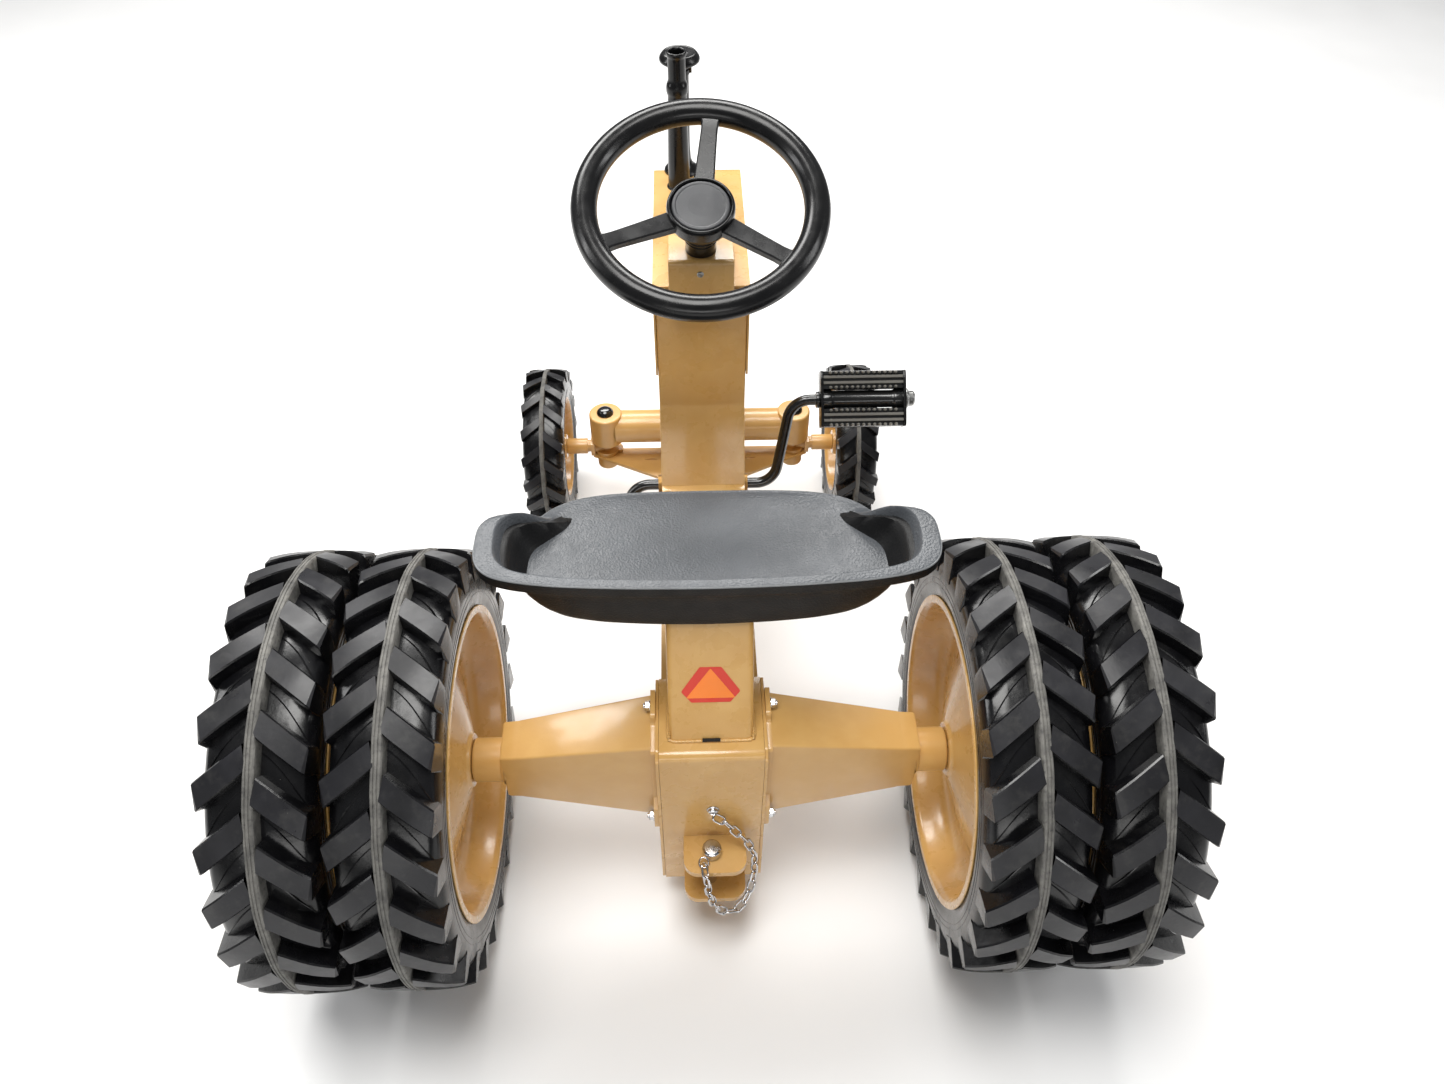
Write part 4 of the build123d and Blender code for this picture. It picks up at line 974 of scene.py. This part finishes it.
for s, nm, (y, z), body in ((1, "right", pr_, "pedal_r"), (-1, "left", pl_, "pedal_l")):
    F = Matrix.Translation((s * 175.5, y, z)) @ Matrix.Rotation(radians(45.0), 4, 'X')
    w = 93.0
    bm = bmesh.new()
    # tread blocks: on each face two round ribs between two rows of studs
    for q in (1, -1):
        sec = rounded_poly([(q * 10.3, -7.2), (q * 10.3, 7.2), (q * 30.4, 7.2), (q * 30.4, -7.2)], 1.4, 2)
        prism(bm, sec, -w / 2 + 3.2, w / 2 - 3.2, 'x', F)
        for face in (1, -1):
            for yc in (q * 17.3, q * 23.4):
                sec = [(yc - 2.0, face * 6.9), (yc - 1.8, face * 9.6), (yc - 1.1, face * 10.9), (yc + 1.1, face * 10.9), (yc + 1.8, face * 9.6), (yc + 2.0, face * 6.9)]
                n0 = len(bm.faces)
                prism(bm, sec, -w / 2 + 3.2, w / 2 - 3.2, 'x', F)
                bm.faces.ensure_lookup_table()
                # rib crowns take the lighter rubber: painted highlight
                for f in bm.faces[n0:]:
                    u = F.inverted() @ f.calc_center_median()
                    if abs(u.z) > 10.0:
                        f.material_index = 1
            for yc in (q * 12.4, q * 28.2):
                sec = [(yc - 1.8, face * 6.9), (yc - 1.5, face * 9.0), (yc + 1.5, face * 9.0), (yc + 1.8, face * 6.9)]
                prism(bm, sec, -w / 2 + 3.2, w / 2 - 3.2, 'x', F)
                for k in range(13):
                    xk = -w / 2 + 11.0 + k * (w - 22.0) / 12
                    base = [F @ Vector((xk + 2.1 * cos(radians(45 * a)), yc + 1.9 * sin(radians(45 * a)), face * 8.8)) for a in range(8)]
                    mid = [F @ Vector((xk + 1.8 * cos(radians(45 * a)), yc + 1.6 * sin(radians(45 * a)), face * 10.9)) for a in range(8)]
                    top = [F @ Vector((xk + 0.9 * cos(radians(45 * a)), yc + 0.8 * sin(radians(45 * a)), face * 12.0)) for a in range(8)]
                    # studs in the lighter rubber: painted highlight
                    grid_strip(bm, [base, mid, top], True, 1, False, True)
    finish_mesh(bm, f"pedal_tread_{nm}", [PEDALM, PEDAL_CROWN_HIGHLIGHT], body, (f"pedal_{nm}",), 30.0)
    bm = bmesh.new()
    # centre tube, shouldered at each end, and the two end plates
    lathe(bm, round_profile([(-w / 2 + 1, 6.3), (-w / 2 + 1, 10.4), (-w / 2 + 12, 10.4), (-w / 2 + 14, 9.5), (w / 2 - 14, 9.5), (w / 2 - 12, 10.4), (w / 2 - 1, 10.4), (w / 2 - 1, 6.3)], 1.0, 2), F, 40)
    finish_mesh(bm, f"pedal_tube_{nm}", GLOSSB, body, (), 40.0)
    bm = bmesh.new()
    for e in (1, -1):
        outline = rounded_poly([(-30.6, -10.5), (-30.6, 10.5), (-22, 12.0), (22, 12.0), (30.6, 10.5), (30.6, -10.5), (22, -12.0), (-22, -12.0)], 3.5, 4)
        prism(bm, outline, e * (w / 2 - 3.0), e * (w / 2), 'x', F)
    finish_mesh(bm, f"pedal_ends_{nm}", SATIN, body, (), 30.0, bevel=0.5)

# =========================================================== front axle
bm = bmesh.new()
F0 = xframe(0, WB, 138.6, 1)
lathe(bm, [(-112, 21.8), (-80, 21.8), (-48, 21.8), (-45, 17.5), (0, 17.5), (45, 17.5), (48, 21.8), (80, 21.8), (112, 21.8)], F0, 72)
for s in (1, -1):
    lathe(bm, round_profile([(117.2, 8.3), (117.2, 20.2), (118.6, 21.6), (160.8, 21.6), (162.4, 19.8), (162.4, 8.3)], 1.4, 4), zframe(s * 124.6, WB), 72)
finish_mesh(bm, "front_axle_fine", GOLD_CAST, "frame", ("front_axle",), 40.0)
bm = bmesh.new()
for s in (1, -1):
    lathe(bm, round_profile([(162.5, 11.0), (164.0, 11.0), (165.4, 10.0), (167.4, 8.4), (169.1, 5.4), (169.8, 0.0)], 1.0, 4), zframe(s * 125.0, WB), 48)
finish_mesh(bm, "kingpin_caps_fine", GLOSSB, "frame", ("kingpin_caps",), 50.0)

refine("main_beam", GOLD, 0.8)
refine("front_bolster", GOLD, 0.6)
refine("tie_plate", GOLD_CAST, 0.8)
for nm in ("left", "right"):
    refine(f"knuckle_{nm}", GOLD_CAST, 0.7)
    refine(f"kingpin_foot_{nm}", GOLD_CAST, 1.2)
    refine(f"front_nut_{nm}", STEEL, 0.5)
refine("seat_bracket", SATIN, 0.6)
refine("steering_shaft", STEEL, 0.5)

# ================================================================ hitch
bm = bmesh.new()
out = [(-30.5, -43.5), (-30.5, -69.0)] + [(-16.5 - 14 * cos(radians(a)), -69.3 - 14 * sin(radians(a))) for a in (15, 30, 45, 60, 75, 90)]
out = out + [(-x, y) for x, y in reversed(out)]
out = [(x + 2.5, y) for x, y in out]
prism(bm, out, 117.3, 124.3, 'z')
prism(bm, out, 62.0, 69.0, 'z')
block(bm, -28.0, 33.0, -49.5, -43.4, 64.0, 122.0)
finish_mesh(bm, "clevis_fine", GOLD, "frame", ("hitch_clevis",), 32.0, bevel=1.5, segs=3, bevel_ang=40.0, weld=False)
bm = bmesh.new()
lathe(bm, round_profile([(42.0, 0), (42.0, 3.4), (44.0, 5.0), (124.6, 5.0), (124.6, 8.6), (125.6, 9.3), (134.0, 9.3), (136.0, 7.6), (136.0, 0)], 0.8, 3), zframe(-0.5, -62.0), 48)
finish_mesh(bm, "hitch_pin_fine", CHROME, "hitch_pin_body", ("hitch_pin",), 40.0)
bm = bmesh.new()
m = yframe(1.0, -43.5, 175.0)
lathe(bm, round_profile([(0, 6.2), (1.1, 6.2), (1.1, 4.9), (3.0, 4.7), (4.2, 3.4), (4.5, 0)], 0.4, 3), m, 40)
finish_mesh(bm, "chain_screw_fine", CHROME, "frame", ("chain_screw",), 40.0)


def catmull(P, u):
    n = len(P) - 1
    i = min(int(u * n), n - 1)
    t = u * n - i
    p0, p1, p2, p3 = P[max(i - 1, 0)], P[i], P[i + 1], P[min(i + 2, n)]
    return 0.5 * ((2 * p1) + (p2 - p0) * t + (2 * p0 - 5 * p1 + 4 * p2 - p3) * t * t + (3 * p1 - p0 - 3 * p2 + p3) * t ** 3)


CH = [Vector(p) for p in ((2.2, -49.6, 172.5), (9.0, -50.4, 167.5), (17.0, -52.6, 158.0), (25.5, -55.2, 147.5), (34.0, -57.8, 135), (40.2, -60.5, 120), (41.6, -63.0, 104), (41.0, -68.0, 88),
                          (36.5, -78.0, 72), (28.0, -88.0, 61), (17.0, -92.5, 57), (6.5, -93.5, 66), (0.5, -93.6, 80), (-3.2, -93.2, 97), (-5.4, -92.0, 114), (-7.0, -87.5, 127.0), (-8.4, -77.5, 131.0))]
L = [0.0]
S = [catmull(CH, k / 600) for k in range(601)]
for a, b in zip(S[:-1], S[1:]):
    L.append(L[-1] + (b - a).length)
pitch = 11.4
nlink = int(L[-1] // pitch)
pitch = L[-1] / nlink


def at_len(d):
    for i in range(600):
        if L[i + 1] >= d:
            return S[i].lerp(S[i + 1], (d - L[i]) / max(1e-9, L[i + 1] - L[i]))
    return S[-1]


bm = bmesh.new()
wr = 1.15
for i in range(nlink):
    a, b = at_len(i * pitch), at_len((i + 1) * pitch)
    c = (a + b) / 2
    T = (b - a).normalized()
    ref = Vector((1, 0, 0)) if abs(T.x) < 0.8 else Vector((0, 0, 1))
    U = (ref - T * ref.dot(T)).normalized()
    V = T.cross(U)
    th = radians((45 if i % 2 else -45) + 8 * noise.noise(Vector((i * 1.7, 0, 0))))
    A, B_ = U * cos(th) + V * sin(th), V * cos(th) - U * sin(th)
    hl, hwid = pitch / 2 + wr * 0.9, 3.5
    pts = []
    n = 10
    for k in range(n + 1):
        an = -pi / 2 + pi * k / n
        pts.append(c + T * (hl - hwid + hwid * cos(an)) + A * hwid * sin(an))
    for k in range(n + 1):
        an = pi / 2 + pi * k / n
        pts.append(c + T * (-(hl - hwid) + hwid * cos(an)) + A * hwid * sin(an))
    pts.append(pts[0])
    # closed ring of round wire
    rings = []
    N = len(pts) - 1
    for k in range(N):
        t = (pts[(k + 1) % N] - pts[k - 1]).normalized()
        q = t.cross(B_).normalized()
        rings.append([pts[k] + (q * cos(2 * pi * j / 10) + B_ * sin(2 * pi * j / 10)) * wr for j in range(10)])
    rings.append(rings[0])
    grid_strip(bm, rings, True)
# split ring under the pin's head
c = Vector((-0.5, -62.0, 126.0))
rings = []
for k in range(40):
    a = 2 * pi * k / 40
    p = Vector((-8.6, -74.5, 129.0)) + Vector((cos(a) * 4.6, sin(a) * 4.2, sin(a) * 2.4))
    n_ = Vector((0, -0.5, 0.86))
    t = Vector((-sin(a) * 4.6, cos(a) * 4.2, cos(a) * 2.4)).normalized()
    q = t.cross(n_).normalized()
    rings.append([p + (q * cos(2 * pi * j / 8) + n_ * sin(2 * pi * j / 8)) * 0.8 for j in range(8)])
rings.append(rings[0])
grid_strip(bm, rings, True)
finish_mesh(bm, "hitch_chain_fine", CHROME, "frame", ("hitch_chain",), 50.0, weld=False)

# ============================================ materials for the kept nodes
KEEP = {"rear_shaft": STEEL, "rear_sprocket": STEEL, "axle_spacers": STEEL, "crank_sprocket": STEEL, "drive_chain": STEEL, "axle_bushings": BRONZE,
        "crank_bushings": BRONZE, "column_bushing": BRONZE, "seat_bolts": STEEL}
for n, mt in KEEP.items():
    o = frame["nodes"][n]
    for s_ in o.material_slots:
        s_.material = mt
for n, o in frame["nodes"].items():
    if not o.hide_render and n not in KEEP:
        print("NODE STILL SHOWN:", n)

# ============================================================ floor, lights
bm = bmesh.new()
SZ = 9.0
v = [bm.verts.new(p) for p in ((-SZ, -SZ, 0), (SZ, -SZ, 0), (SZ, SZ, 0), (-SZ, SZ, 0))]
bm.faces.new(v)
me = bpy.data.meshes.new("floor")
bm.to_mesh(me); bm.free()
floor = bpy.data.objects.new("floor", me)
scene.collection.objects.link(floor)
floor.location.z = -0.0006
fm = M("pale_floor")
fm.color(fm.mix(fm.ramp(fm.noise(3.0, 4), [(0.3, 0.0), (0.8, 1.0)]), (0.80, 0.80, 0.80), (0.86, 0.86, 0.86)))
fm.rough(fm.ramp(fm.noise(8.0, 3), [(0.3, 0.55), (0.8, 0.7)]))
me.materials.append(fm.m)


def area(name, loc, target, size, power, col=(1, 1, 1), size_y=None):
    l = bpy.data.lights.new(name, 'AREA')
    l.energy = power
    l.color = col
    l.size = size
    if size_y:
        l.shape = 'RECTANGLE'; l.size_y = size_y
    o = bpy.data.objects.new(name, l)
    o.location = loc
    d = Vector(target) - Vector(loc)
    o.rotation_euler = d.to_track_quat('-Z', 'Y').to_euler()
    scene.collection.objects.link(o)
    return o


area("key_overhead", (-0.2, -0.35, 2.9), (0, 0.0, 0.2), 1.3, 62, (1.0, 0.99, 0.965), 1.3)
area("front_box", (-0.35, 1.7, 2.3), (0, 0.0, 0.3), 3.0, 104, (1.0, 0.99, 0.97), 0.8)
area("low_back", (-0.1, -2.5, 0.85), (0, 0, 0.25), 2.2, 14, (1.0, 0.99, 0.97), 0.5)
area("side_right", (2.3, -0.1, 1.5), (0, 0, 0.25), 0.45, 17, (1, 1, 1), 1.6)
area("side_left", (-2.3, 0.1, 1.5), (0, 0, 0.25), 0.45, 17, (1, 1, 1), 1.6)
w = bpy.data.worlds.new("studio")
scene.world = w
w.use_nodes = True
w.node_tree.nodes["Background"].inputs[0].default_value = (0.95, 0.97, 1.0, 1)
w.node_tree.nodes["Background"].inputs[1].default_value = 0.20
scene.view_settings.view_transform = 'Standard'
scene.view_settings.look = 'None'
scene.view_settings.exposure = 0.0

# ================================================================= camera
yaw, pitch, roll = radians(2.4009), radians(47.3185), radians(0.6362)
fwd = Vector((sin(yaw) * cos(pitch), cos(yaw) * cos(pitch), -sin(pitch)))
right = Vector((cos(yaw), -sin(yaw), 0.0))
up = right.cross(fwd)
right2 = right * cos(roll) + up * sin(roll)
up2 = -right * sin(roll) + up * cos(roll)
cam = bpy.data.cameras.new("camera")
cam.lens = 27.485
cam.sensor_width = 36.0
cam.sensor_fit = 'HORIZONTAL'
cam.dof.use_dof = False
cam.clip_start, cam.clip_end = 0.02, 50.0
co = bpy.data.objects.new("camera", cam)
scene.collection.objects.link(co)
m = Matrix.Identity(4)
for i in range(3):
    m[i][0], m[i][1], m[i][2] = right2[i], up2[i], -fwd[i]
m[0][3], m[1][3], m[2][3] = -0.01471, -0.56751 - YM * MM, 1.11882
co.matrix_world = m
scene.camera = co
